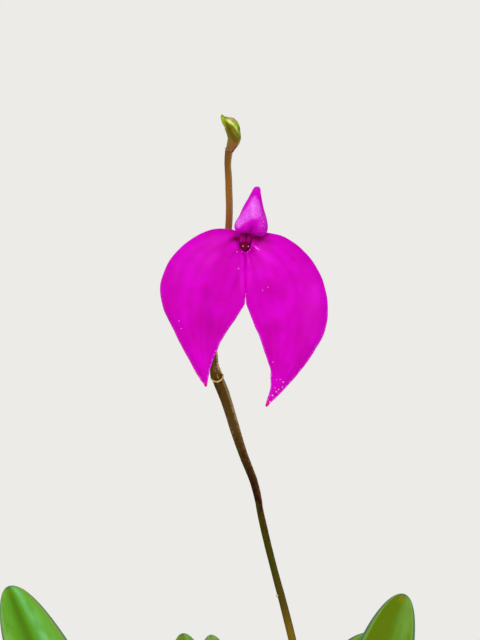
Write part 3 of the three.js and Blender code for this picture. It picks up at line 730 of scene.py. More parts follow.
def sepalFace():
    # thick, faintly velvety flesh: flat saturated magenta, hardly any gloss
    flesh, place, _, ground = startMaterial(
        "sepal_flesh_face", "Object", 9, 3, (0.36, 0.62), flower["ground"], 0.55
    )
    # cells of the skin, drawn at 0.35 mm, some five times their real size, so that they show
    cells = addNode(
        flesh, "TexNoise", {"Vector": place, "Scale": 1 / (0.35 * mm), "Detail": 2.0, "Roughness": 0.6}
    )
    speckle = addNode(flesh, "MapRange", {"Value": cells, "From Min": 0.5, "From Max": 0.62})
    grains = addNode(flesh, "MapRange", {"Value": cells, "From Min": 0.3, "From Max": 0.56})
    layers = []
    # over the ground go painted shade in the folds, the throat, the tube and under the upper sepal's lobes,
    # and painted highlights and sheen on the ridges, the pale patch and the margins
    for name, strength, colour in (
        ("upper", 0.5, "lobe"), ("vein", 0.35, "vein"), ("fold", 0.8, "fold"), ("ridge", 0.75, "ridge"),
        ("sheen", grains, "sheenColour"), ("frost", speckle, "sheenColour"), ("rim", speckle, "rim"),
        ("tip", 1.0, "tip"), ("deep", 1.0, "deep"),
    ):
        mask = addNode(flesh, "Math", {0: name, 1: strength}, operation="MULTIPLY")
        layers.append((mask, flower[colour]))
    return finishMaterial(
        flesh, ground, layers, (cells, 0.12, 0.1), 0.5, 0.05, 1.38, (0.05, (1, 0.1, 0.8), 0.6)
    )


def sepalBack():
    # the outside of the sepals is paler and a little duller than the face, with its veins raised
    skin, place, _, ground = startMaterial("sepal_flesh_back", "Object", 7, 3, (0.35, 0.65), flower["back"])
    cells = addNode(skin, "TexNoise", {"Vector": place, "Scale": 1 / (0.4 * mm), "Detail": 2.0})
    return finishMaterial(
        skin, ground, [("vein", flower["backVein"]), ("tip", flower["tip"])], (cells, 0.15, 0.1),
        0.5, 0.2, 1.38, (0.06, (1, 0.15, 0.8), 0.8),
    )


def buildSepals():
    left, right, dorsal = (sheetFromRows(rows) for rows in (sideRows(-1), sideRows(1), dorsalRows()))
    editedWhole(left, bpy.ops.mesh.flip_normals)
    piece = joined([left, right, dorsal])
    facesOut(piece, weld=flower["weld"])
    forward = sum(f.normal.y * f.area for f in piece.data.polygons)
    if forward > 0:  # the first material is the face's, so the sheet has to look forward
        piece.data.flip_normals()
    group = piece.vertex_groups.new(name="flesh")
    for vertex, value in zip(piece.data.vertices, piece.data.attributes["thick"].data):
        group.add([vertex.index], value.value, "REPLACE")
    for material in (sepalFace(), sepalBack()):
        piece.data.materials.append(material)
    withModifier(
        piece, "SOLIDIFY", thickness=flower["thickness"] * mm, offset=0, vertex_group="flesh",
        material_offset=1, material_offset_rim=0,
    )
    withModifier(piece, "SUBSURF", levels=1, render_levels=1)
    return dressed(piece, "sepals_fleshy", ["sepals"], [])


sepals = buildSepals()
print("sepals made:", len(sepals.data.polygons), "faces")


# Inside the tube: the column between two strap petals, and the dark lip in the mouth

heart = {
    "columnLine": ((0, -0.2, -15.1), (0, 0.8, -11.5), (0, 1.6, -8), (-0.1, 2.5, -5), (-0.15, 2.95, -3.2)),
    "columnRadii": (0.7, 0.75, 0.85, 0.9, 0.8),
    "columnMesh": (20, 40),  # points round it and rings along it
    "petalLine": ((1.3, 0, -13.4), (1.75, 0.4, -10), (1.6, 1, -7), (1.2, 1.65, -4.2), (1.1, 1.66, -2.4)),
    "petalHeights": (0.8, 1.4, 1.7, 1.75, 1.84),
    "petalThicks": (0.4, 0.42, 0.5, 0.8, 0.98),
    "petalSplay": 0.08,
    "petalRings": 40,
    "petalSides": 24,
    # side, name, how far its end leans over to the right, and how much broader its end is
    "petals": ((-1, "left", 0.24, 1.22), (1, "right", 0.06, 1.06)),
    "lipLine": (
        (0, -1.5, -13.6), (0, -2.1, -10.4), (0, -2.1, -7.4), (-0.1, -1.6, -5), (-0.2, -1.1, -3.4),
        (-0.24, -0.95, -2.3), (-0.24, -0.9, -1.5),
    ),
    "lipRadii": (0.6, 1, 1.2, 1.4, 1.62, 1.58, 1.12),
    "lipMesh": (28, 60),
    "column": ("#A00A60", "#C01680"),
    "columnEnd": "#D80038",
    "petal": ("#AA006C", "#C20090"),
    # painted highlight down one side of each petal near its front end
    "petalHighlight": "#C818A8",
    "lip": ("#5E002E", "#760032"),
}


def lineInFlower(points):
    return smoothLine([tuple(inFlower(*point)) for point in points])


def roundEnd(t, share):
    # shrinks a closed tube to nothing over its last share, as a ball does
    return sqrt(max(0.0004, 1 - (max(0, t - 1 + share) / share) ** 2))


def fleshMaterial(name, colours, rough, gloss, size, edge=None):
    # moist inner flower flesh, darker where it is thick; the edge mark lays a second colour: the column's
    # crimson end, the ovary's paler ribs, and on the petals a painted highlight down one side
    flesh, _, cloud, ground = startMaterial(name, "Object", size, 2, (0.32, 0.68), colours)
    return finishMaterial(
        flesh, ground, [("edge", edge)] if edge else [], (cloud, 0.2, 0.15),
        rough, gloss, 1.4, (0.15, (1, 0.2, 0.5), 0.5),
    )


def buildHeart():
    radii = smoothLine(heart["columnRadii"])

    def columnRadius(t, angle):
        wings = 1 + 0.22 * abs(cos(angle)) ** 3 * ease(t * 2) * (1 - ease((t - 0.85) / 0.1))
        return radii(t) * wings * roundEnd(t, 0.12) * roundEnd(1 - t, 0.06)

    line = lineInFlower(heart["columnLine"])
    rings = stemRings(line, columnRadius, *heart["columnMesh"], upward, marksOf=lambda t, a: {
        "edge": 0.9 * ease((t - 0.86) / 0.08) * ease(sin(a) + 0.6)
    })
    dressed(closedFromRings(rings), "column_winged", ["column"], [
        fleshMaterial("column_flesh_waxy", heart["column"], 0.4, 0.15, 1.2, heart["columnEnd"])
    ])
    strap = fleshMaterial("petal_flesh_glassy", heart["petal"], 0.45, 0.04, 1.4, heart["petalHighlight"])
    heights, thicks = smoothLine(heart["petalHeights"]), smoothLine(heart["petalThicks"])
    for side, name, shift, broad in heart["petals"]:
        line = lineInFlower([(side * x + shift * ease((v + 9) / 5), z, v) for x, z, v in heart["petalLine"]])
        rows = []
        for t in evenShares(heart["petalRings"]):
            at, across, up, _ = crossAt(line, t, upward)
            shrink = roundEnd(t, 0.08) * roundEnd(1 - t, 0.06)
            row = []
            for angle in evenAngles(heart["petalSides"]):
                s, u = (copysign(abs(turn) ** 0.75, turn) for turn in (cos(angle), sin(angle)))
                s, u = s * thicks(t) * mix(1, broad, t) * shrink, u * heights(t) * shrink
                s += side * heart["petalSplay"] * u + 0.1 * sin(u * 1.3)  # splayed, and cupped a little
                # painted highlight down one side, towards the front end
                edge = 0.7 * bell(cos(angle) + 0.8, 0.3) * ease((t - 0.7) / 0.2)
                row.append((at + across * s + up * u, (s, u, t), {"edge": edge}))
            rows.append(row)
        dressed(closedFromRings(rows), "petal_strap_" + name, ["petal_" + name], [strap])
    lipRadii = smoothLine(heart["lipRadii"])

    def lipRadius(t, angle):
        groove = 0.16 * bell(cos(angle), 0.28) * (sin(angle) > 0) * (1 - ease((t - 0.6) / 0.2))
        warts = 0.06 * uneven(cos(angle) * 3, sin(angle) * 3, t * 14)
        return lipRadii(t) * (1 - groove + warts) * roundEnd(t, 0.13) * roundEnd(1 - t, 0.06)

    rings = stemRings(lineInFlower(heart["lipLine"]), lipRadius, *heart["lipMesh"], upward, flatness=0.9)
    dressed(closedFromRings(rings), "lip_tongue", ["lip"], [
        fleshMaterial("lip_flesh_dark", heart["lip"], 0.45, 0.06, 0.8)
    ])


buildHeart()
print("column, petals and lip made")


# Dewdrops on the flower's face, set down onto the sepals wherever they lie

dew = {
    # x and z from the throat, and radius
    "drops": (
        (11.3, -41.6, 0.22), (11.0, -43.1, 0.17), (9.9, -43.8, 0.21), (9.2, -44.5, 0.24),
        (8.1, -45.6, 0.26), (8.9, -46.5, 0.19), (7.3, -47.5, 0.23), (9.3, -40.9, 0.12),
        (10.4, -40.8, 0.12), (8.8, -43.3, 0.13), (-2.6, -2.5, 0.15), (-1.2, -2.6, 0.14),
        (1.3, -1.9, 0.14), (0.7, -2.5, 0.13), (-2.1, -7.6, 0.16), (6.7, -13.2, 0.12),
        (5.1, -14.1, 0.13), (-19.9, -23.3, 0.13), (-19.3, -25.6, 0.10), (8.2, -35.6, 0.14),
    ),
    # a trail of pale drops that paints a highlight streak along a ridge right of the mouth
    "streak": ((2.8, -0.8), (3.3, -1.4), (4.1, -2.0)),
    "streakRadius": 0.14,
    "streakDrops": 10,
    "dropMesh": {"segments": 14, "ring_count": 9},
    "flatness": 0.72,  # gravity and the skin flatten a drop
    "raised": 0.35,  # share of its radius by which its middle stands off the skin
    "glints": ((-0.75, -0.85), (0.85, -0.85)),  # two pale beads on the lip that paint its two glints
    "glintRadius": 0.2,
    "glintColour": "#FFB0E4",
}


def buildDew():
    water = newMaterial("dew_water")  # small drops that catch the panels; their pale pink body colour is a painted glint
    finishMaterial(
        water, dew["glintColour"], [], None, 0.08, 0.8, 1.33,
        more={"Transmission Weight": 0.1, "Coat Weight": 1.0, "Coat Roughness": 0.02},
    )
    spots = [(x, z, r, sepals) for x, z, r in dew["drops"]]
    spots += [(x, z, dew["glintRadius"], bpy.data.objects["lip_tongue"]) for x, z in dew["glints"]]
    trail = smoothLine(dew["streak"])
    for share in evenShares(dew["streakDrops"] - 1):
        spots.append((*trail(share), dew["streakRadius"] * hump(0.15 + 0.7 * share), sepals))
    drops = []
    for x, z, radius, carrier in spots:
        found, place, normal, _ = carrier.ray_cast((throat + Vector((x, -60, z))) * mm, (0, 1, 0))
        if not found:
            continue
        drop = added(bpy.ops.mesh.primitive_uv_sphere_add, radius=radius * mm, **dew["dropMesh"])
        editedWhole(drop, bpy.ops.transform.resize, value=(1, 1, dew["flatness"]))
        turn = normal.to_track_quat("Z", "Y").to_matrix().to_4x4()
        turn.translation = place + normal * radius * dew["raised"] * mm
        drop.data.transform(turn)
        drops.append(drop)
    dressed(joined(drops), "dewdrops", [], [water])


buildDew()
print("dew set down")


# Scape, bud stalk and pedicel, with the bract and the torn collar at the node

stem = {
    "scapeLine": (
        (14, 3, 52), (14, 3, 72), (13, 2.8, 105), (9.8, 2.4, 140), (5.2, 2, 170), (-0.95, 1.4, 199),
        (-6.35, 0.7, 219.7), (-9.05, 0.1, 230.7), (-10.4, -0.2, 236.9), (-10.95, -0.4, 240.2),
        (-12.35, -0.8, 245.8), (-13.6, -1, 249.1), (-15.95, -1.6, 255.2), (-17.9, -2, 261.3),
        (-20.7, -2.5, 270.4), (-23, -2.9, 276.5), (-23.3, -3, 277.3),
    ),
    "scapeRadii": (
        1.3, 1.3, 1.25, 1.2, 1.2, 1.2, 1.08, 1.08, 1.03, 1.1, 1.22, 1.28, 1.38, 1.5, 1.66, 1.74, 1.3,
    ),
    "scapeMesh": (32, 460),  # points round it and rings along it
    "budStalkLine": (
        (-22.8, -2.9, 275.5), (-24.1, -3.1, 282), (-24.9, -3.6, 290), (-23.3, -4.4, 304), (-20.6, -5, 317),
        (-19.76, -5, 327), (-19.93, -4.8, 337), (-20.2, -4.6, 342.5), (-19.9, -4.5, 346.4),
    ),
    "budStalkRadii": (1.2, 0.95, 0.95, 1.0, 1.05, 1.06, 1.06, 1.02, 1.2),
    "budStalkMesh": (24, 120),
    "pedicelLine": (
        (-22.8, -2.9, 275.5), (-24.1, -1.9, 282), (-24.7, 1.6, 290), (-22.4, 6.2, 299),
        (-18.2, 9.4, 307.6), (-15.5, 9.9, 314.2), (-14.95, 8.9, 316.1),
    ),
    "pedicelRadii": (1.1, 0.9, 0.9, 0.9, 0.95, 1.05, 1.0),
    "pedicelMesh": (20, 60),
    "bractLine": (
        (-23.5, -2.95, 276.9), (-23.95, -2.9, 279), (-24.33, -2.8, 281.4), (-24.42, -2.7, 284.2),
        (-24.55, -2.6, 287.2),
    ),
    "bractRadii": (1.66, 1.7, 1.27, 1.12, 0.85),
    "bractMesh": (60, 60),
    "bractRidge": (2.75, 2.35),  # where its thick edge runs, low and high up, as an angle from its left side
    "collarSides": 60,
    # collars: middle, the way they look, inner and outer radius, height, dip of the front, paleness
    "collars": (
        ((-23.56, -3, 277.8), (-0.28, 0, 0.96), 1.66, 2.1, 1.1, 1.6, 1.6),
        ((-19.66, -4.5, 346.9), (0.34, 0, 0.94), 1.15, 1.4, 0.9, 0.35, 0.3),
    ),
    "specks": ((-18.78, -5.2, 327.7, 0.2), (-5.1, 0.2, 210.5, 0.4)),  # pale scurf on the rind
    # colour of the rind from the foot of the scape to the bud, as height and colour
    "rind": (
        (60, "#6A5A1A"), (195, "#7A6418"), (200, "#765E16"), (208, "#544310"), (220, "#424002"),
        (232, "#383202"), (237, "#322C02"), (241.5, "#2C1C08"), (249, "#36230A"), (255, "#46300C"),
        (262, "#523C17"), (269, "#563F19"), (274.5, "#62441A"), (277, "#665010"), (280, "#6C5218"),
        (284, "#745824"), (310, "#7A5228"), (325.5, "#8E542C"), (330, "#94602C"), (336, "#8C5C1C"),
        (342, "#7A501E"), (346, "#744A20"),
    ),
    # patches on the rind, dark, green and pale: middle in x and z, reach in x and z
    # mostly real dark blotches; the wide one at z 276.1 under the collar is a painted shadow
    "maroon": (
        (-15.6, 254.1, 0.55, 0.8), (-14.2, 249.4, 0.5, 0.7), (-13.2, 247, 0.5, 0.6),
        (-12.5, 245.1, 0.55, 0.7), (-11.9, 242.9, 0.6, 0.8), (-11.2, 240.6, 0.7, 0.8),
        (-10.3, 239.4, 0.5, 1), (-10, 237.2, 0.4, 1), (-17.6, 258.6, 0.4, 0.5), (-16.7, 256.6, 0.4, 0.5),
        (-14.9, 251.8, 0.45, 0.5), (-22.5, 276.1, 0.85, 0.42), (-22.9, 272.9, 0.3, 0.9),
        (-8.4, 231.4, 0.3, 1.2), (-7.6, 228.4, 0.3, 1),
    ),
    "olive": (
        (-11.4, 237.4, 0.6, 2.2), (-10.4, 233.2, 0.7, 2.4), (-9.2, 228.6, 0.9, 2.2), (-8, 223.4, 1, 3),
        (-6.7, 218.6, 0.8, 3), (-24, 275, 0.5, 1.5), (-17, 255.3, 0.45, 1.3), (-16.3, 252.9, 0.45, 1.4),
        (-15.5, 250.2, 0.4, 1.3),
    ),
    "pale": (
        (-16.2, 257.8, 0.3, 0.3), (-15.4, 252.6, 0.25, 0.3), (-9, 233.4, 0.2, 0.35), (-9.6, 236.2, 0.15, 0.2),
        (-16.9, 256.2, 0.2, 0.25), (-14.7, 249.8, 0.2, 0.3),
    ),
    # the colour of each mark on the rind, and of its flecks; the lit colour is painted light, and the dark
    # maroon one serves both blotches and painted shade
    "stain": "#300C06",
    "red": "#5E2C14",
    "moss": "#403E05",
    "lit": "#A89262",
    "fleck": "#A98A52",
    "tan": "#FAD68C",
}


def rindMaterial():
    # tough green stem rind gone brown in the sun: mottled, finely ribbed, with small pale flecks, painted
    # light down one side and some painted shade
    rind = newMaterial("stem_rind_mottled")
    place = addNode(rind, "TexCoord", output="Object")
    height = addNode(rind, "SeparateXYZ", {0: place}, output="Z")
    low, high = stem["rind"][0][0], stem["rind"][-1][0]
    share = addNode(rind, "MapRange", {"Value": height, "From Min": low * mm, "From Max": high * mm})
    stops = [((z - low) / (high - low), colour) for z, colour in stem["rind"]]
    ground = addNode(rind, "ValToRGB", {"Fac": share}, stops)
    grain = addNode(rind, "Attribute", output="Vector", attribute_name="grain")
    blotch = addNode(rind, "TexNoise", {"Vector": grain, "Scale": 1.3, "Detail": 4.0, "Roughness": 0.6})
    patchy = addNode(rind, "MapRange", {"Value": blotch, "From Min": 0.38, "From Max": 0.66})
    dots = addNode(rind, "TexVoronoi", {"Vector": grain, "Scale": 0.9}, output="Distance", feature="F1")
    flecks = addNode(rind, "MapRange", {"Value": dots, "From Min": 0.14, "From Max": 0.07, "To Max": 0.25})
    layers = []
    for name in ("moss", "red", "stain", "fleck", "lit", "tan"):
        if name == "fleck":
            layers.append((flecks, stem[name]))
            continue
        read = addNode(rind, "Attribute", output="Fac", attribute_name=name)
        edged = addNode(rind, "Math", {0: patchy, 1: read}, operation="ADD")
        broken = addNode(rind, "MapRange", {"Value": edged, "From Min": 0.5, "From Max": 1.2})
        mask = addNode(rind, "Math", {0: broken, 1: read}, operation="MULTIPLY", use_clamp=True)
        layers.append((mask, stem[name]))
    return finishMaterial(rind, ground, layers, (blotch, 0.3, 0.1), 0.6, 0.08, 1.3)


def rindMarks(x, z, angle, red=0.0, lit=0.7, tan=0.0):
    # the colours that lie on the rind at x and z; its right side is paler with painted light, and here and
    # there reddish
    right = -cos(angle)
    return {
        "tan": tan + 0.9 * spotsAt(x, z, stem["pale"]),
        "stain": 1.3 * spotsAt(x, z, stem["maroon"]),
        "red": red * ease((right + 0.1) / 0.5),
        "moss": 1.2 * spotsAt(x, z, stem["olive"]),
        "lit": lit * ease((right - 0.3) / 0.45),
    }


def collarRings(middle, ahead, inner, rim, height, dip, paleness):
    # a torn cup round the stem: up the outside, over the thin rim and down inside again
    ahead = Vector(ahead).normalized()
    side = ahead.cross(front).normalized()
    up = side.cross(ahead)
    rows = []
    for lift, radius, shade in (
        (-height, inner * 0.95, 0.0), (-height * 0.9, inner * 1.02, 0.0), (-height * 0.5, inner * 1.05, 0.0),
        (-0.3, mix(inner, rim, 0.5), 0.3), (-0.2, mix(inner, rim, 0.9), 1.0), (-0.04, rim, 1.1),
        (0.16, rim, 1.1), (0.28, rim * 0.98, 1.1), (0.34, mix(inner, rim, 0.6), 1.0),
        (0.24, mix(inner, rim, 0.2), 0.8), (0, inner * 0.96, 0.3), (-0.2, inner * 0.92, 0.0),
        (-0.25, inner * 0.5, 0.0),
    ):
        row = []
        for angle in evenAngles(stem["collarSides"]):
            c, s = cos(angle), sin(angle)
            torn = 0.14 * uneven(c * 2, s * 2, inner) * min(1, shade) - dip * max(0, s) ** 1.2
            place = Vector(middle) + (side * c + up * s) * radius + ahead * (lift + torn)
            worn = 0.75 + 0.5 * uneven(c * 2.5, s * 2.5, 4)
            marks = {**rindMarks(place.x, place.z, angle, lit=0.0), "tan": shade * worn * paleness}
            row.append((place, (c * radius, s * radius, place.z), marks))
        rows.append(row)
    return rows


def buildStem():
    curves = {name: smoothLine(stem[name]) for name in stem if name.endswith(("Line", "Radii"))}
    low, high = stem["bractRidge"]

    def scapeRadius(t, angle):
        z = curves["scapeLine"](t).z
        ribs = 0.012 * cos(9 * angle) + 0.05 * uneven(angle * 0.7, z * 0.25, 1.5)
        scurf = 0.035 * uneven(cos(angle) * 2, sin(angle) * 2, z * 1.6)
        node = 0.08 * bell(z - 242, 1.1) * ease(0.5 - cos(angle))  # a low node part way up
        return curves["scapeRadii"](t) * (1 + ribs + scurf + node)

    def scapeMarks(t, angle):
        x, _, z = curves["scapeLine"](t)
        x -= curves["scapeRadii"](t) * cos(angle)
        red = 0.8 * bell(z - 238, 9) + 0.5 * bell(z - 256, 6)
        # painted light down the right side, stronger higher up
        lit = 0.25 + 0.17 * ease((z - 244) / 4) + 0.43 * ease((z - 258) / 8)
        left = ease((z - 256) / 4) * (1 - ease((z - 266) / 6)) * ease((cos(angle) - 0.3) / 0.45)
        marks = rindMarks(x, z, angle, red, lit)
        marks["lit"] += 0.3 * left  # painted light also on the left side along a stretch under the collar
        return marks

    def budStalkRadius(t, angle):
        return curves["budStalkRadii"](t) * (1 + 0.02 * cos(7 * angle) + 0.04 * uneven(angle, t * 22, 4))

    def pedicelRadius(t, angle):
        return curves["pedicelRadii"](t) * (1 + 0.025 * cos(6 * angle))

    def ridgeAt(t, angle):
        wander = 0.25 * uneven(t * 9, 2, 7)
        return bell(sin((angle - mix(low, high, ease((t - 0.1) / 0.5)) - wander) / 2) * 2, 0.42)

    def bractRadius(t, angle):
        ribs = 0.03 * cos(11 * angle) + 0.05 * uneven(angle * 2, t * 9, 8)
        knobs = (0.1 + 0.12 * uneven(t * 22, 1, 3)) * ridgeAt(t, angle)
        return curves["bractRadii"](t) * (1 + ribs + knobs) * (1 - 0.12 * ease((t - 0.85) / 0.15))

    def bractMarks(t, angle):
        torn = 0.8 + 0.7 * uneven(angle * 3, t * 20, 3)
        seam = 0.7 * bell(angle - 1.75 - 0.4 * (0.2 - t), 0.1) * (1 - ease((t - 0.3) / 0.15))
        left = ease((cos(angle) - 0.2) / 0.4)
        # painted shade down its left side higher up, and a painted highlight band part way up, away from its
        # left side
        return {
            "tan": (1.2 * ridgeAt(t, angle) * ease((t - 0.05) / 0.2) + seam) * torn,
            "stain": 0.9 * left * ease((t - 0.4) / 0.2) + 0.3 * uneven(angle * 3, t * 12, 6),
            "red": 0.0,
            "moss": 0.35 * left * (1 - ease((t - 0.3) / 0.2)),
            "lit": 0.5 * bell(t - 0.4, 0.3) * (1 - left),
        }

    parts = []
    for name, radiusOf, marksOf in (
        ("scape", scapeRadius, scapeMarks),
        ("budStalk", budStalkRadius, lambda t, a: rindMarks(0, 0, a, 0.15, 0.75)),
        ("pedicel", pedicelRadius, lambda t, a: rindMarks(0, 0, a, 0.3, 0.1)),
        ("bract", bractRadius, bractMarks),
    ):
        rings = stemRings(curves[name + "Line"], radiusOf, *stem[name + "Mesh"], marksOf=marksOf)
        parts.append(closedFromRings(rings))
    parts += [closedFromRings(collarRings(*collar)) for collar in stem["collars"]]
    for x, y, z, radius in stem["specks"]:
        speck = added(bpy.ops.mesh.primitive_ico_sphere_add, subdivisions=2, radius=radius)
        putPoints(speck, lambda co: (co + Vector((x, y, z)), co, rindMarks(0, 0, 0, tan=0.8)))
        parts.append(speck)
    dressed(joined(parts), "scape_with_bract", ["scape"], [rindMaterial()])


buildStem()
print("stem made")


# The ribbed ovary behind the flower, and the next bud

pods = {
    "ovaryLine": (
        (-15.05, 9.4, 315.2), (-14.9, 7.6, 317.3), (-14.87, 5, 318.2), (-14.85, 2.4, 318),
        (-14.85, -1.3, 317.7),
    ),
    "ovaryRadii": (1.1, 1.4, 1.7, 1.75, 1.5),
    "ovaryMesh": (48, 36),  # points round it and rings along it
    "ovaryRibs": 6,
    "ovaryColours": ("#5E5A22", "#7C3A4E"),
    "ovaryRib": "#8A7A30",
    "budLine": (
        (-19.85, -4.5, 346.2), (-19.5, -4.5, 347.05), (-18.75, -4.6, 348.85), (-18.25, -4.7, 350.4),
        (-18.47, -4.8, 352.1), (-18.87, -4.95, 353.55), (-19.58, -5.05, 354.75), (-20.6, -5.1, 355.5),
        (-21.45, -5.1, 356.3), (-21.87, -5.1, 356.95), (-21.8, -5.1, 357.6),
    ),
    "budRadii": (1, 1.3, 1.83, 2.05, 2.18, 2.3, 2.22, 1.62, 0.98, 0.54, 0.22),
    "budMesh": (56, 80),
    "budFlatness": 0.86,
    "budMiddle": (-18.5, 352),  # in x and z
    # streaks on it: from x, z to x, z of its middle, width at each end, strength
    # pale: a painted highlight band along the raised keels
    "pale": (
        (-1.2, 3.4, -2.7, 4.45, 0.45, 0.4, 1), (-1.2, 3.4, 0.6, 1.8, 0.4, 0.28, 1),
        (-0.3, 2.85, 1.4, 0.55, 0.3, 0.22, 0.8), (0.7, 1.8, 2.1, -1.1, 0.28, 0.2, 0.7),
        (2.1, 0.8, 2.35, -2, 0.22, 0.2, 0.8), (2.2, -2, 0.6, -4.9, 0.14, 0.12, 0.4),
        (-3.3, 2.6, -2, -0.9, 0.28, 0.25, 0.55), (-1.85, -2, -2.3, -4, 0.2, 0.2, 0.6),
    ),
    "brown": (
        (-1.35, 1.2, -2.45, 3.1, 0.5, 0.35, 1), (-1.35, 1.2, -0.4, -1, 0.5, 0.65, 1),
        (-0.5, -0.5, 0.9, -2.4, 0.6, 0.6, 1), (0.2, -1.7, 1.7, -3, 0.7, 0.6, 1),
        (0.6, -2, 0.9, -3.2, 0.8, 0.6, 0.8),
    ),
    "fresh": (
        (-3.4, 4.2, -3.1, 5.6, 0.8, 0.5, 1), (0.4, 3.3, 2.1, 1, 0.6, 0.7, 0.9),
        (-3.1, 3.3, -2, 0, 0.4, 0.5, 0.5),
    ),
    "pink": ((-0.6, 4.1, -2.6, 4.7, 0.42, 0.4, 1), (-0.5, 4.1, 1.4, 3.3, 0.42, 0.4, 1)),
    "rose": ((-0.9, -5.1, 0.4, -4.6, 0.6, 0.6, 0.7), (0.5, -4.1, 1.1, -3.4, 0.4, 0.3, 0.4)),
    "budGreen": ("#5C5E00", "#787C00"),
    # what each kind of streak and the neck below z give it
    "budColours": {
        "neck": "#845C2C", "fresh": "#9ABA10", "brown": "#664E0E", "pink": "#C49A6E", "pale": "#D6EC70",
        "rose": "#A8563E",
    },
    "budNeck": -2.5,
}


def budMaterial():
    # young sepal flesh, yellow-green with a brown flush low down, and raised keels with a pale painted
    # highlight along them
    flesh, _, cloud, ground = startMaterial(
        "bud_flesh_green", "Object", 1.6, 4, (0.35, 0.62), pods["budGreen"], 0.6
    )
    cloudy = addNode(
        flesh, "MapRange", {"Value": cloud, "From Min": 0.3, "From Max": 0.7, "To Min": 0.8, "To Max": 1.2}
    )
    layers = []
    for name, over in pods["budColours"].items():
        layers.append((addNode(flesh, "Math", {0: name, 1: cloudy}, operation="MULTIPLY"), over))
    return finishMaterial(
        flesh, ground, layers, (cloud, 0.3, 0.15), 0.42, 0.22, 1.4, (0.06, (1, 0.9, 0.3), 0.5)
    )


def buildPods():
    curves = {name: smoothLine(pods[name]) for name in pods if name.endswith(("Line", "Radii"))}
    ribs, line = pods["ovaryRibs"], curves["budLine"]

    def ovaryRadius(t, angle):
        return curves["ovaryRadii"](t) * (1 + 0.1 * cos(ribs * angle) + 0.02 * cos(3 * ribs * angle))

    rings = stemRings(
        curves["ovaryLine"], ovaryRadius, *pods["ovaryMesh"], Vector((1, 0, 0)),
        marksOf=lambda t, a: {"edge": 0.5 + 0.5 * cos(ribs * a)},
    )
    dressed(closedFromRings(rings), "ovary_ribbed", ["ovary"], [
        fleshMaterial("ovary_rind_purpled", pods["ovaryColours"], 0.45, 0.25, 2.5, pods["ovaryRib"])
    ])

    def budPlace(t, angle):
        middle, side, _, _ = crossAt(line, t, front)
        place = middle + side * curves["budRadii"](t) * cos(angle)
        return place.x - pods["budMiddle"][0], place.z - pods["budMiddle"][1]

    def budRadius(t, angle):
        keel = streaksAt(*budPlace(t, angle), pods["pale"]) * ease(t / 0.3) * ease(sin(angle) * 1.5)
        return curves["budRadii"](t) * (0.99 + 0.04 * keel) * roundEnd(t, 0.05)

    def budMarks(t, angle):
        x, z = budPlace(t, angle)
        marks = {name: streaksAt(x, z, pods[name]) for name in ("pale", "brown", "fresh", "pink", "rose")}
        return {**marks, "neck": 1 - ease((z + 0.2 * x - pods["budNeck"]) / 0.9 + 0.5)}

    rings = stemRings(
        line, budRadius, *pods["budMesh"], flatness=pods["budFlatness"], marksOf=budMarks
    )
    dressed(closedFromRings(rings), "bud_hooked", ["bud"], [budMaterial()])


buildPods()
print("ovary and bud made")


# Leaves: a thick folded blade on a thin round stalk, each in a dry papery sheath

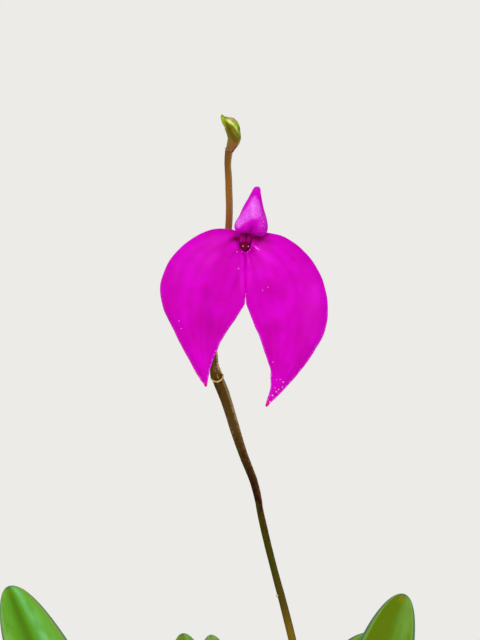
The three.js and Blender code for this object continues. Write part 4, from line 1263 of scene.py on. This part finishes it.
leafForm = {
    "bark": 67,  # height of the bark's top
    "depth": 15,  # how far below it the stalks start
    "sheathShare": 0.135,  # of the leaf's height over the bark
    "sheathSunk": 5,  # how far below the bark's top it starts
    "sheathRadius": 1.9,
    "outerSheath": (0.55, 1.18),  # the height and girth of a second one, as shares of the first
    "sheathRings": 22,
    "sheathSides": 18,
    "stalkRadius": 1.25,
    "arch": 0.36,
    "upturn": 0.45,
    "bladeStart": 0.36,  # both as shares of the leaf's length
    "widest": 0.76,
    "fold": 0.3,
    "channel": 0.25,
    "midThickness": 1.5,
    "edgeThickness": 0.7,
    "around": 40,
    "rings": 84,
    # name, foot, tip, lean at the foot and at the tip, swing of the upper face, width, how yellow
    "leaves": (
        ("leaf_01_tall_left", (-13, 8), (-88.8, 16, 211.9), 14, 20, -67, 23.2, 0.15),
        ("leaf_02_tall_right", (9, 17), (35.3, 22, 208.8), 3, 20, 78, 20.6, 0.75),
        ("leaf_03_inner_back", (-7, 17), (-34.8, 30, 195.5), 6, 12, -68, 16.8, 0.5),
        ("leaf_04_inner_front", (-8, -4), (-25.4, -16, 200.5), 4, 12, 60, 14.8, 0.6),
        ("leaf_05_back_right", (15, 25), (31.8, 60, 191.7), 4, 66, 6, 29, 0.5),
        ("leaf_06_front_left", (-13, -15), (-58, -50, 150), 12, 58, 8, 25, 0.3),
        ("leaf_07_front", (1, -23), (-8, -82, 150), 12, 66, 0, 24, 0.5),
        ("leaf_08_front_right", (16, -14), (58, -50, 164), 10, 50, -8, 25, 0.35),
        ("leaf_09_right", (26, 0), (88, -4, 168), 12, 56, 6, 26, 0.2),
        ("leaf_10_back_right", (25, 14), (76, 40, 178), 10, 46, 0, 25, 0.55),
        ("leaf_11_back", (3, 29), (-4, 80, 170), 10, 56, 0, 24, 0.25),
        ("leaf_12_back_left", (-15, 24), (-52, 66, 176), 8, 46, -6, 24, 0.6),
        ("leaf_13_left", (-25, -5), (-88, -28, 152), 14, 62, 0, 25, 0.4),
        ("leaf_14_young_front", (12, -28), (32, -62, 124), 10, 50, 0, 18, 0.8),
        ("leaf_15_young_left", (-27, 12), (-68, 36, 134), 12, 54, 0, 20, 0.7),
        ("leaf_16_inner_right", (20, 5), (50, 8, 186), 4, 26, 30, 22, 0.3),
        ("leaf_17_young_right", (28, -13), (66, -34, 122), 12, 56, 0, 17, 0.9),
        ("leaf_18_inner_left", (-18, 2), (-58, -6, 184), 8, 30, -20, 22, 0.5),
    ),
    # the lighter bluish green of the cloud is partly leaf colour and partly painted sheen
    "green": ("#54A400", "#7CC85A"),
    "yellow": ("#66840A", "#7A9A36"),
    "dim": "#627C00",  # painted shade on the half of a yellow leaf that lies in its own fold
    "midrib": "#507A00",
    "rich": "#4A9A00",  # beside the midrib
    # colours across a green blade, as share of the way from its right margin to its left and colour; its pale
    # bluish stops are partly waxy bloom and partly painted sheen
    "across": (
        (0.06, "#5C9814"), (0.17, "#6EBC44"), (0.28, "#8CDC9C"), (0.38, "#4E9C08"), (0.46, "#3C8600"),
        (0.56, "#3C8600"), (0.68, "#5AAC0C"), (0.84, "#80D04C"), (0.95, "#8ED476"),
    ),
    "bright": "#86A83A",  # just inside the margin
    "margin": "#527460",
    "gold": "#8A8400",
    "under": ("#6E9A4C", "#86AC62"),
    "stalk": "#56601E",
    "sheath": ("#6E5636", "#B79A70"),
}


def leafLine(foot, tip, rise, droop):
    start = Vector((*foot, leafForm["bark"] - leafForm["depth"]))
    end = Vector(tip)
    out = Vector((end.x - start.x, end.y - start.y, 0)).normalized()
    reach = (end - start).length * leafForm["arch"]

    def lean(degrees):
        return upward * cos(radians(degrees)) + out * sin(radians(degrees))

    return byLength(bezierLine(start, start + lean(rise) * reach, end - lean(droop) * reach, end))


def leafFacing(foot, tip, turn):
    inward = Vector((foot[0] - tip[0], foot[1] - tip[1], 0)).normalized()
    c, s = cos(radians(turn)), sin(radians(turn))
    return Vector((inward.x * c - inward.y * s, inward.x * s + inward.y * c, leafForm["upturn"])).normalized()


def bladeHalf(u, width):
    form, half = leafForm, width / 2
    if u > form["widest"]:
        return half * sqrt(max(0, 1 - ((u - form["widest"]) / (1 - form["widest"])) ** 2))
    grown = ease((u - form["bladeStart"]) / (form["widest"] - form["bladeStart"]))
    return mix(form["stalkRadius"], half, grown**0.85)


def leafRows(line, length, sheathEnd, facing, width, yellow, number):
    form = leafForm
    wave = random.Random(number).uniform(0, 6.28)
    rows = []
    for share in evenShares(form["rings"]):
        u = 1 - (1 - share) ** 1.6  # closer rings towards the round tip
        at, side, up, ahead = crossAt(line, u, facing)
        blade = ease((u - sheathEnd) / (form["bladeStart"] + 0.06 - sheathEnd))
        half = max(bladeHalf(u, width), 0.02)
        slim = min(1, half / 4)
        closing = sqrt(max(0.0004, 1 - (max(0, u - 0.965) / 0.035) ** 2))
        row = []
        for angle in evenAngles(form["around"]):
            x, upper = cos(angle), 1 if sin(angle) > 0 else -1
            groove = form["channel"] * 1.5 * bell(x * half, 0.9) * (upper > 0)
            keel = 0.45 * bell(x * half, 1.3) * (upper < 0)
            thick = mix(form["edgeThickness"] * 0.75, form["midThickness"], (1 - abs(x)) ** 1.4 * slim)
            sag = half * form["fold"] * slim * abs(x) ** 1.35
            crimp = 0.35 * sin(u * 19 + wave + 1.3 * (x > 0)) * x * x * slim
            rim = sqrt(max(0, 1 - abs(x) ** 7))
            lift = sag + crimp - (groove + keel) * slim + (upper * rim - 1) * thick * 0.5 * closing
            notch = 0.7 * bell(x, 0.16) * ease((u - 0.97) / 0.03)
            s = mix(form["stalkRadius"] * x, half * x, blade)
            n = mix(form["stalkRadius"] * sin(angle), lift, blade)
            place = at + side * s + up * n - ahead * notch
            marks = {
                "across": x * blade,
                "along": u,
                "blade": blade,
                "under": blade if upper < 0 else 0.0,
                "yellow": yellow,
                "dim": min(1, 1.3 * yellow) * ease(x * 6 + 0.5) * ease((0.9 - abs(x)) / 0.1) * (upper > 0),
                "gold": yellow * ease((u - 0.975) / 0.015) * ease((0.4 - abs(x - 0.1)) / 0.2),
            }
            row.append((place, (s, u * length, number * 7.0), marks))
        rows.append(row)
    return rows


def leafMaterial():
    # thick leathery leaf: mottled green with pale bluish patches, partly waxy bloom and partly painted sheen,
    # a sunk darker midrib and a thin cool margin
    skin, grain, cloud, green = startMaterial(
        "leaf_cuticle_waxy", "grain", 6.25, 4, (0.34, 0.64), leafForm["green"], 0.55, (1, 0.4, 1)
    )
    away = addNode(skin, "Math", {0: "across"}, operation="ABSOLUTE")
    plain = addNode(skin, "Math", {0: "yellow", 1: -0.8, 2: 1.0}, operation="MULTIPLY_ADD")
    wide = addNode(skin, "Math", {0: "yellow", 1: 0.07, 2: away}, operation="MULTIPLY_ADD")
    face = addNode(skin, "Math", {0: "under", 1: -0.65, 2: 1.0}, operation="MULTIPLY_ADD")
    # each share rises from nothing to its reach as its reading goes from one bound to the other
    shares = {}
    for name, source, low, high, reach in (
        ("middle", away, 0.17, 0.03, 1), ("beside", away, 0.5, 0.1, 0.75),
        ("fading", "along", 0.997, 0.985, 1), ("low", "along", 0.5, 0.25, 1), ("tip", "along", 0.994, 1, 0.9),
        ("edge", wide, 0.92, 0.99, 1), ("bright", wide, 0.84, 0.93, 0.8), ("crossing", "across", -1, 1, 1),
    ):
        sockets = {"Value": source, "From Min": low, "From Max": high, "To Max": reach}
        shares[name] = addNode(skin, "MapRange", sockets)
    patchy = addNode(
        skin, "MapRange", {"Value": cloud, "From Min": 0.4, "From Max": 0.58, "To Min": 0.3, "To Max": 0.85}
    )
    masks = {}
    for name, factors, operation in (
        ("rib", (shares["middle"], plain, "blade", shares["fading"]), "MULTIPLY"),
        ("rich", (shares["beside"], plain), "MULTIPLY"), ("bloomAndSheen", (plain, patchy), "MULTIPLY"),
        ("margin", (shares["edge"], shares["tip"]), "MAXIMUM"),
    ):
        total = factors[0]
        for factor in factors[1:]:
            total = addNode(skin, "Math", {0: total, 1: factor}, operation=operation)
        masks[name] = total
    margin = addNode(skin, "Math", {0: masks["margin"], 1: face}, operation="MULTIPLY")
    across = addNode(skin, "ValToRGB", {"Fac": shares["crossing"]}, leafForm["across"])
    clouds = []
    for name in ("yellow", "under"):
        stops = list(zip((0.34, 0.64), leafForm[name]))
        clouds.append(addNode(skin, "ValToRGB", {"Fac": cloud}, stops))
    # fine long veins 0.8 mm apart, and the grain of the cuticle
    sockets = {"Vector": grain, "Scale": 0.4, "Distortion": 1.2, "Detail": 1.0}
    lines = addNode(skin, "TexWave", sockets, output="Fac", bands_direction="X")
    pores = addNode(skin, "TexNoise", {"Vector": grain, "Scale": 3.0, "Detail": 2.0})
    relief = addNode(skin, "Math", {0: lines, 1: pores}, operation="ADD")
    rough = addNode(skin, "MapRange", {"Value": pores, "To Min": 0.36, "To Max": 0.5})
    return finishMaterial(skin, green, [
        (masks["rich"], leafForm["rich"]), (masks["bloomAndSheen"], across), ("yellow", clouds[0]),
        ("dim", leafForm["dim"]), (shares["bright"], leafForm["bright"]), ("under", clouds[1]),
        (masks["rib"], leafForm["midrib"]), ("gold", leafForm["gold"]), (margin, leafForm["margin"]),
        (shares["low"], leafForm["stalk"]),
    ], (relief, 0.12, 0.12), rough, 0.1, 1.4, (0.05, (0.6, 1, 0.2), 0.6))


def sheathMaterial():
    # dry leaf sheath, papery and fibrous: pale brown streaks along it, no gloss
    paper, _, streak, ground = startMaterial(
        "sheath_dry_paper", "grain", 0.4545, 4, (0.3, 0.7), leafForm["sheath"], stretch=(1, 1, 0.12)
    )
    return finishMaterial(paper, ground, [], (streak, 0.5, 0.25), 0.8, 0.2)


def sheathRings(line, length, low, high, radius, number):
    # a dry tube round a stalk with a slanted torn mouth, closed inside its rim
    rows = []
    for t in evenShares(leafForm["sheathRings"]):
        inside = t == 1
        row = []
        for angle in evenAngles(leafForm["sheathSides"]):
            torn = 0.9 * uneven(cos(angle) * 1.5, sin(angle) * 1.5, number * 3.3)
            slant = (1.6 * cos(angle + number) + torn) * ease((t - 0.5) / 0.5)
            share = mix(low, high, min(1, t / 0.96)) + (slant - (0.6 if inside else 0)) / length
            at, side, up, _ = crossAt(line, share, front)
            r = mix(radius * 1.12, radius * 0.86, t) * (1 + 0.05 * uneven(angle, share * 20, number))
            r = leafForm["stalkRadius"] * 0.8 if inside else r
            s, n = r * cos(angle), r * sin(angle)
            row.append((at + side * s + up * n, (s, n, share * length), {}))
        rows.append(row)
    return rows


def buildLeaves():
    cuticle, sheaths = leafMaterial(), []
    radius = leafForm["sheathRadius"]
    outerHigh, outerGirth = leafForm["outerSheath"]
    for number, (name, foot, tip, rise, droop, turn, width, yellow) in enumerate(leafForm["leaves"]):
        line, length = leafLine(foot, tip, rise, droop)
        high = (leafForm["depth"] + leafForm["sheathShare"] * (tip[2] - leafForm["bark"])) / length
        rows = leafRows(line, length, high, leafFacing(foot, tip, turn), width, yellow, number)
        dressed(closedFromRings(rows), name.replace("leaf_", "blade_"), [name], [cuticle])
        low = (leafForm["depth"] - leafForm["sheathSunk"]) / length
        for top, girth, seed in ((high, 1, number), (mix(low, high, outerHigh), outerGirth, number + 31)):
            sheaths.append(closedFromRings(sheathRings(line, length, low, top, radius * girth, seed)))
    dressed(joined(sheaths), "leaf_sheaths", [], [sheathMaterial()])


buildLeaves()
print("leaves made")


# Bark in the pot, with a few pale roots over it and tufts of moss

bark = {
    "radius": 38.6,  # how far out chips may lie
    "wallZone": 8,  # how near to that they are set inward, and how far
    "wallKeep": 3.3,
    "level": 67,
    "kinds": 6,
    "chips": 300,
    "size": (13, 8, 4.6),
    "seed": 11,
    "sharpOver": 38,  # degrees between faces from which an edge stays sharp
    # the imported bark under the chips: height and radius from the pot's floor up
    "fill": ((6.6, 28.6), (8.5, 30.8), (30, 33.2), (60, 38.2), (65, 38.8), (68, 33.6), (68.5, 7.6)),
    "fillSides": 48,
    "colours": ("#2E1B10", "#5C3A22", "#8A5F3E"),
    "fresh": "#6E4A30",  # newly broken chips
    "cork": "#A98360",
    "roots": (
        ((4, 8, 66), (10, 14, 71), (20, 18, 73.5), (28, 14, 73), (33, 6, 68)),
        ((-6, -6, 66), (-14, -12, 71.5), (-20, -20, 73.6), (-18, -28, 72), (-12, -33, 67)),
        ((8, -10, 66), (12, -18, 71.5), (6, -27, 73.8), (-3, -31, 72.5), (-9, -34, 68)),
        ((-12, 10, 66), (-22, 16, 71.5), (-28, 22, 73), (-30, 10, 73.4), (-34, 2, 68)),
    ),
    "rootRadius": 0.95,
    "rootMesh": (14, 60),  # points round it and rings along it
    "velamen": ("#B9B39C", "#DAD6C4"),
    "rootTip": "#8FA05A",
    "mossSeed": 5,
    "mossRadius": 36,
    "mossLevel": (70.2, 71.6),
    "tufts": 22,
    "strands": 22,
    "strandHeight": 3.2,
    "strandMesh": {"vertices": 5, "radius1": 0.34, "radius2": 0.05, "depth": 1},
    "strandSpread": 1.1,
    "moss": ("#4C6A1C", "#86A03A"),
    "mossTip": "#A9BC5C",
}


def barkMaterial():
    # fir bark: dark red-brown layers with paler corky faces, dry and matt
    rough, grain, cloud, ground = startMaterial(
        "fir_bark_chipped", "grain", 1.4286, 6, (0.3, 0.52, 0.75), bark["colours"], 0.65, (0.35, 0.35, 1.6)
    )
    dust = addNode(rough, "TexNoise", {"Vector": grain, "Scale": 2.5, "Detail": 5.0})
    corky = addNode(rough, "MapRange", {"Value": dust, "From Min": 0.55, "From Max": 0.75, "To Max": 0.6})
    layers = [("tone", bark["fresh"]), (corky, bark["cork"])]
    return finishMaterial(rough, ground, layers, (cloud, 0.8, 0.5), 0.9, 0.2)


def oneChip(draw):
    # a block of bark, cut into a few faces, its corners pulled about and its layers stepped
    chip = added(bpy.ops.mesh.primitive_cube_add, size=1)
    editedWhole(chip, bpy.ops.mesh.subdivide, number_cuts=2)
    long, wide, high = (size * draw.uniform(0.8, 1.2) for size in bark["size"])
    taper, lean = draw.uniform(0.15, 0.45), draw.uniform(-0.3, 0.3)
    offset = draw.uniform(0, 50)

    def pointOf(co):
        x = co.x * long + lean * co.z * high
        y = co.y * wide * (1 - taper * (co.x * 2) ** 2) + 1.2 * uneven(co.x * 3, offset, co.z * 4)
        z = co.z * high * (1 - 0.3 * abs(co.y * 2) ** 3) + 0.9 * uneven(x * 0.25, y * 0.25, offset)
        x += 1.4 * uneven(offset, co.y * 4, co.z * 5)
        return Vector((x, y, z)), (x + offset, y, z), {"tone": 0.0}

    putPoints(chip, pointOf)
    return chip


def copyOf(piece, turn, place, tone=None):
    twin = piece.copy()
    twin.data = piece.data.copy()
    bpy.context.scene.collection.objects.link(twin)
    move = turn.to_matrix().to_4x4()
    move.translation = place * mm
    twin.data.transform(move)
    if tone is not None:
        twin.data.attributes["tone"].data.foreach_set("value", [tone] * len(twin.data.vertices))
    return twin


def buildBark():
    draw = random.Random(bark["seed"])
    kinds = [oneChip(draw) for _ in range(bark["kinds"])]
    golden = pi * (3 - sqrt(5))
    parts = []
    for i in range(bark["chips"]):
        reach = bark["radius"] * sqrt((i + 0.5) / bark["chips"]) - 1.2
        angle = i * golden * 3 + draw.uniform(-0.2, 0.2)
        flat = Euler((draw.uniform(-0.5, 0.5), draw.uniform(-0.5, 0.5), draw.uniform(0, 6.28)))
        if reach > bark["radius"] - bark["wallZone"]:
            reach -= bark["wallKeep"]
        height = bark["level"] + draw.uniform(-0.6, 4.2)
        place = Vector((reach * cos(angle), reach * sin(angle), height))
        parts.append(copyOf(kinds[i % bark["kinds"]], flat, place, draw.uniform(0, 0.6)))
    for kind in kinds:
        bpy.data.objects.remove(kind)
    ground = []
    for z, radius in bark["fill"]:
        ring = []
        for angle in evenAngles(bark["fillSides"]):
            at = Vector((radius * cos(angle), radius * sin(angle), z))
            at.z += 0.8 * uneven(*(at * 0.2)) if z > 60 else 0  # only its top is uneven
            ring.append((at, tuple(at), {"tone": 0.0}))
        ground.append(ring)
    piece = joined([*parts, closedFromRings(ground)])
    facesOut(piece)
    dressed(piece, "bark_chips", ["potting_bark"], [barkMaterial()], bark["sharpOver"])


def buildRoots():
    # aerial roots: spongy grey-white skin over a thin core, matt, greener at the growing tip
    skin, _, cloud, ground = startMaterial(
        "root_velamen_dry", "grain", 1.25, 4, (0.35, 0.65), bark["velamen"]
    )
    tip = addNode(skin, "MapRange", {"Value": "along", "From Min": 0.86, "From Max": 0.96})
    finishMaterial(skin, ground, [(tip, bark["rootTip"])], (cloud, 0.4, 0.2), 0.85, 0.2)
    roots = []
    for number, points in enumerate(bark["roots"]):

        def radius(t, angle):
            return bark["rootRadius"] * (1 + 0.1 * uneven(angle * 0.5, t * 9, number)) * roundEnd(t, 0.04)

        roots.append(closedFromRings(stemRings(
            smoothLine(points), radius, *bark["rootMesh"], upward, marksOf=lambda t, a: {"along": t}
        )))
    dressed(joined(roots), "roots_velamen", [], [skin])


def buildMoss():
    # cushion moss: short soft strands, mid green with pale tips, matt
    soft, _, _, ground = startMaterial("moss_cushion", "Object", 5, 3, (0.35, 0.65), bark["moss"])
    finishMaterial(soft, ground, [("tone", bark["mossTip"])], None, 0.85, 0.2, more={"Sheen Weight": 0.2})
    draw = random.Random(bark["mossSeed"])
    strand = added(bpy.ops.mesh.primitive_cone_add, **bark["strandMesh"])
    high, spread = bark["strandHeight"], bark["strandSpread"]
    putPoints(strand, lambda co: (
        Vector((co.x + 0.25 * (co.z + 0.5) ** 2, co.y, (co.z + 0.5) * high)), co, {"tone": max(0, co.z)}
    ))
    parts = []
    for _ in range(bark["strands"]):
        lean = Euler((draw.uniform(-0.75, 0.75), draw.uniform(-0.75, 0.75), draw.uniform(0, 6.28)))
        spot = Vector((draw.gauss(0, spread), draw.gauss(0, spread), draw.uniform(-0.8, 0)))
        parts.append(copyOf(strand, lean, spot))
    bpy.data.objects.remove(strand)
    tuft = joined(parts)
    tufts = []
    for _ in range(bark["tufts"]):
        angle, reach = draw.uniform(0, 6.28), bark["mossRadius"] * sqrt(draw.uniform(0.05, 1))
        spot = Vector((reach * cos(angle), reach * sin(angle), draw.uniform(*bark["mossLevel"])))
        tufts.append(copyOf(tuft, Euler((0, 0, draw.uniform(0, 6.28))), spot))
    bpy.data.objects.remove(tuft)
    dressed(joined(tufts), "moss_tufts", [], [soft])


buildBark()
buildRoots()
buildMoss()
print("bark, roots and moss made")


# The clay pot, pulled up ring by ring from its foot and down again inside

potForm = {
    "height": 80,
    "rimRadius": 50,
    "rimHeight": 16,
    "rimStep": 2.6,
    "footRadius": 34,
    "wall": 4.6,
    "floor": 6,
    "drainRadius": 4.5,
    "drainCircle": 17,
    "drainHoles": 3,
    "drainSides": 40,
    "sides": 96,
    "step": 1.6,  # how far apart its rings are
    "sharpOver": 42,
    "clay": ("#A4583A", "#C67E5A"),
    "damp": "#8A4C34",
    "bloom": "#D9C4B0",
    "bloomAt": ((34, 0, 0.26), (62, 80, 0.2)),  # height where it starts, where it is strongest, and how much
}


def clayMaterial():
    # unglazed earthenware, wheel thrown: dry and matt, sandy grain, white lime bloom low down and on the rim
    clay, place, _, ground = startMaterial(
        "terracotta_unglazed", "Object", 22, 5, (0.32, 0.66), potForm["clay"]
    )
    height = addNode(clay, "SeparateXYZ", {0: place}, output="Z")
    sand = addNode(clay, "TexNoise", {"Vector": place, "Scale": 1 / (0.9 * mm), "Detail": 4.0})
    salted = addNode(
        clay, "TexNoise", {"Vector": place, "Scale": 1 / (13 * mm), "Detail": 7.0, "Roughness": 0.62}
    )
    for fromHeight, toHeight, most in potForm["bloomAt"]:
        sockets = {"Value": height, "From Min": fromHeight * mm, "From Max": toHeight * mm, "To Max": most}
        where = addNode(clay, "MapRange", sockets)
        salted = addNode(clay, "Math", {0: salted, 1: where}, operation="ADD")
    layers = []
    for name, source, low, high, most in (
        ("damp", sand, 0.58, 0.7, 0.45), ("bloom", salted, 0.6, 0.86, 0.75),
    ):
        sockets = {"Value": source, "From Min": low, "From Max": high, "To Max": most}
        layers.append((addNode(clay, "MapRange", sockets), potForm[name]))
    return finishMaterial(clay, ground, layers, (sand, 0.3, 0.3), 0.88, 0.25)


def potProfile():
    foot, rim, top, base = (potForm[name] for name in ("footRadius", "rimRadius", "height", "floor"))
    wallTop, underRim = rim - potForm["rimStep"], top - potForm["rimHeight"]

    def inner(z):
        return mix(foot, wallTop, z / top) - potForm["wall"]

    corners = [
        (foot - 1.2, 0), (foot - 0.35, 0.35), (foot, 1.2), (mix(foot, wallTop, underRim / top), underRim),
        (rim - 1, underRim), (rim - 0.45, underRim + 0.3), (rim - 0.3, underRim + 1), (rim, top - 2.4),
        (rim - 0.35, top - 1.1), (rim - 1.1, top - 0.35), (rim - 2.6, top), (inner(top) + 1.6, top - 0.3),
        (inner(top) + 0.5, top - 1), (inner(top), top - 2.2), (inner(base) + 0.2, base + 2),
        (inner(base) - 2, base),
    ]
    profile = [corners[0]]
    for (r0, z0), (r1, z1) in zip(corners, corners[1:]):
        cuts = max(1, round(hypot(r1 - r0, z1 - z0) / potForm["step"]))
        for k in range(1, cuts + 1):
            r, z = mix(r0, r1, k / cuts), mix(z0, z1, k / cuts)
            if cuts > 3:  # throwing lines on the long faces, never proud of the wall
                r -= 0.11 * (1 + sin(z * 1.9 + sin(z * 0.37) * 2)) * hump(k / cuts)
            profile.append((r, z))
    return profile


def buildPot():
    profile = potProfile()
    r, z = profile[0]
    pot = added(
        bpy.ops.mesh.primitive_circle_add, vertices=potForm["sides"], radius=r * mm, fill_type="NGON"
    )
    bpy.ops.object.mode_set(mode="EDIT")
    bpy.ops.mesh.select_mode(type="EDGE")
    bpy.ops.mesh.select_all(action="SELECT")
    bpy.ops.mesh.region_to_loop()
    for newR, newZ in profile[1:]:
        bpy.ops.mesh.extrude_edges_move(TRANSFORM_OT_translate={"value": (0, 0, (newZ - z) * mm)})
        bpy.ops.transform.resize(value=(newR / r, newR / r, 1), center_override=(0, 0, newZ * mm))
        r, z = newR, newZ
    bpy.ops.mesh.edge_face_add()
    facesOut(pot)
    for angle in evenAngles(potForm["drainHoles"]):
        middle = Vector((-sin(angle), cos(angle), 0)) * potForm["drainCircle"] * mm
        drill = added(
            bpy.ops.mesh.primitive_cylinder_add, vertices=potForm["drainSides"],
            radius=potForm["drainRadius"] * mm, depth=potForm["floor"] * 3 * mm, location=middle,
        )
        withModifier(pot, "BOOLEAN", object=drill, operation="DIFFERENCE", solver="EXACT")
        bpy.data.objects.remove(drill)
    dressed(pot, "pot_thrown", ["pot"], [clayMaterial()], potForm["sharpOver"])


buildPot()
print("pot made")

print("all pieces made")
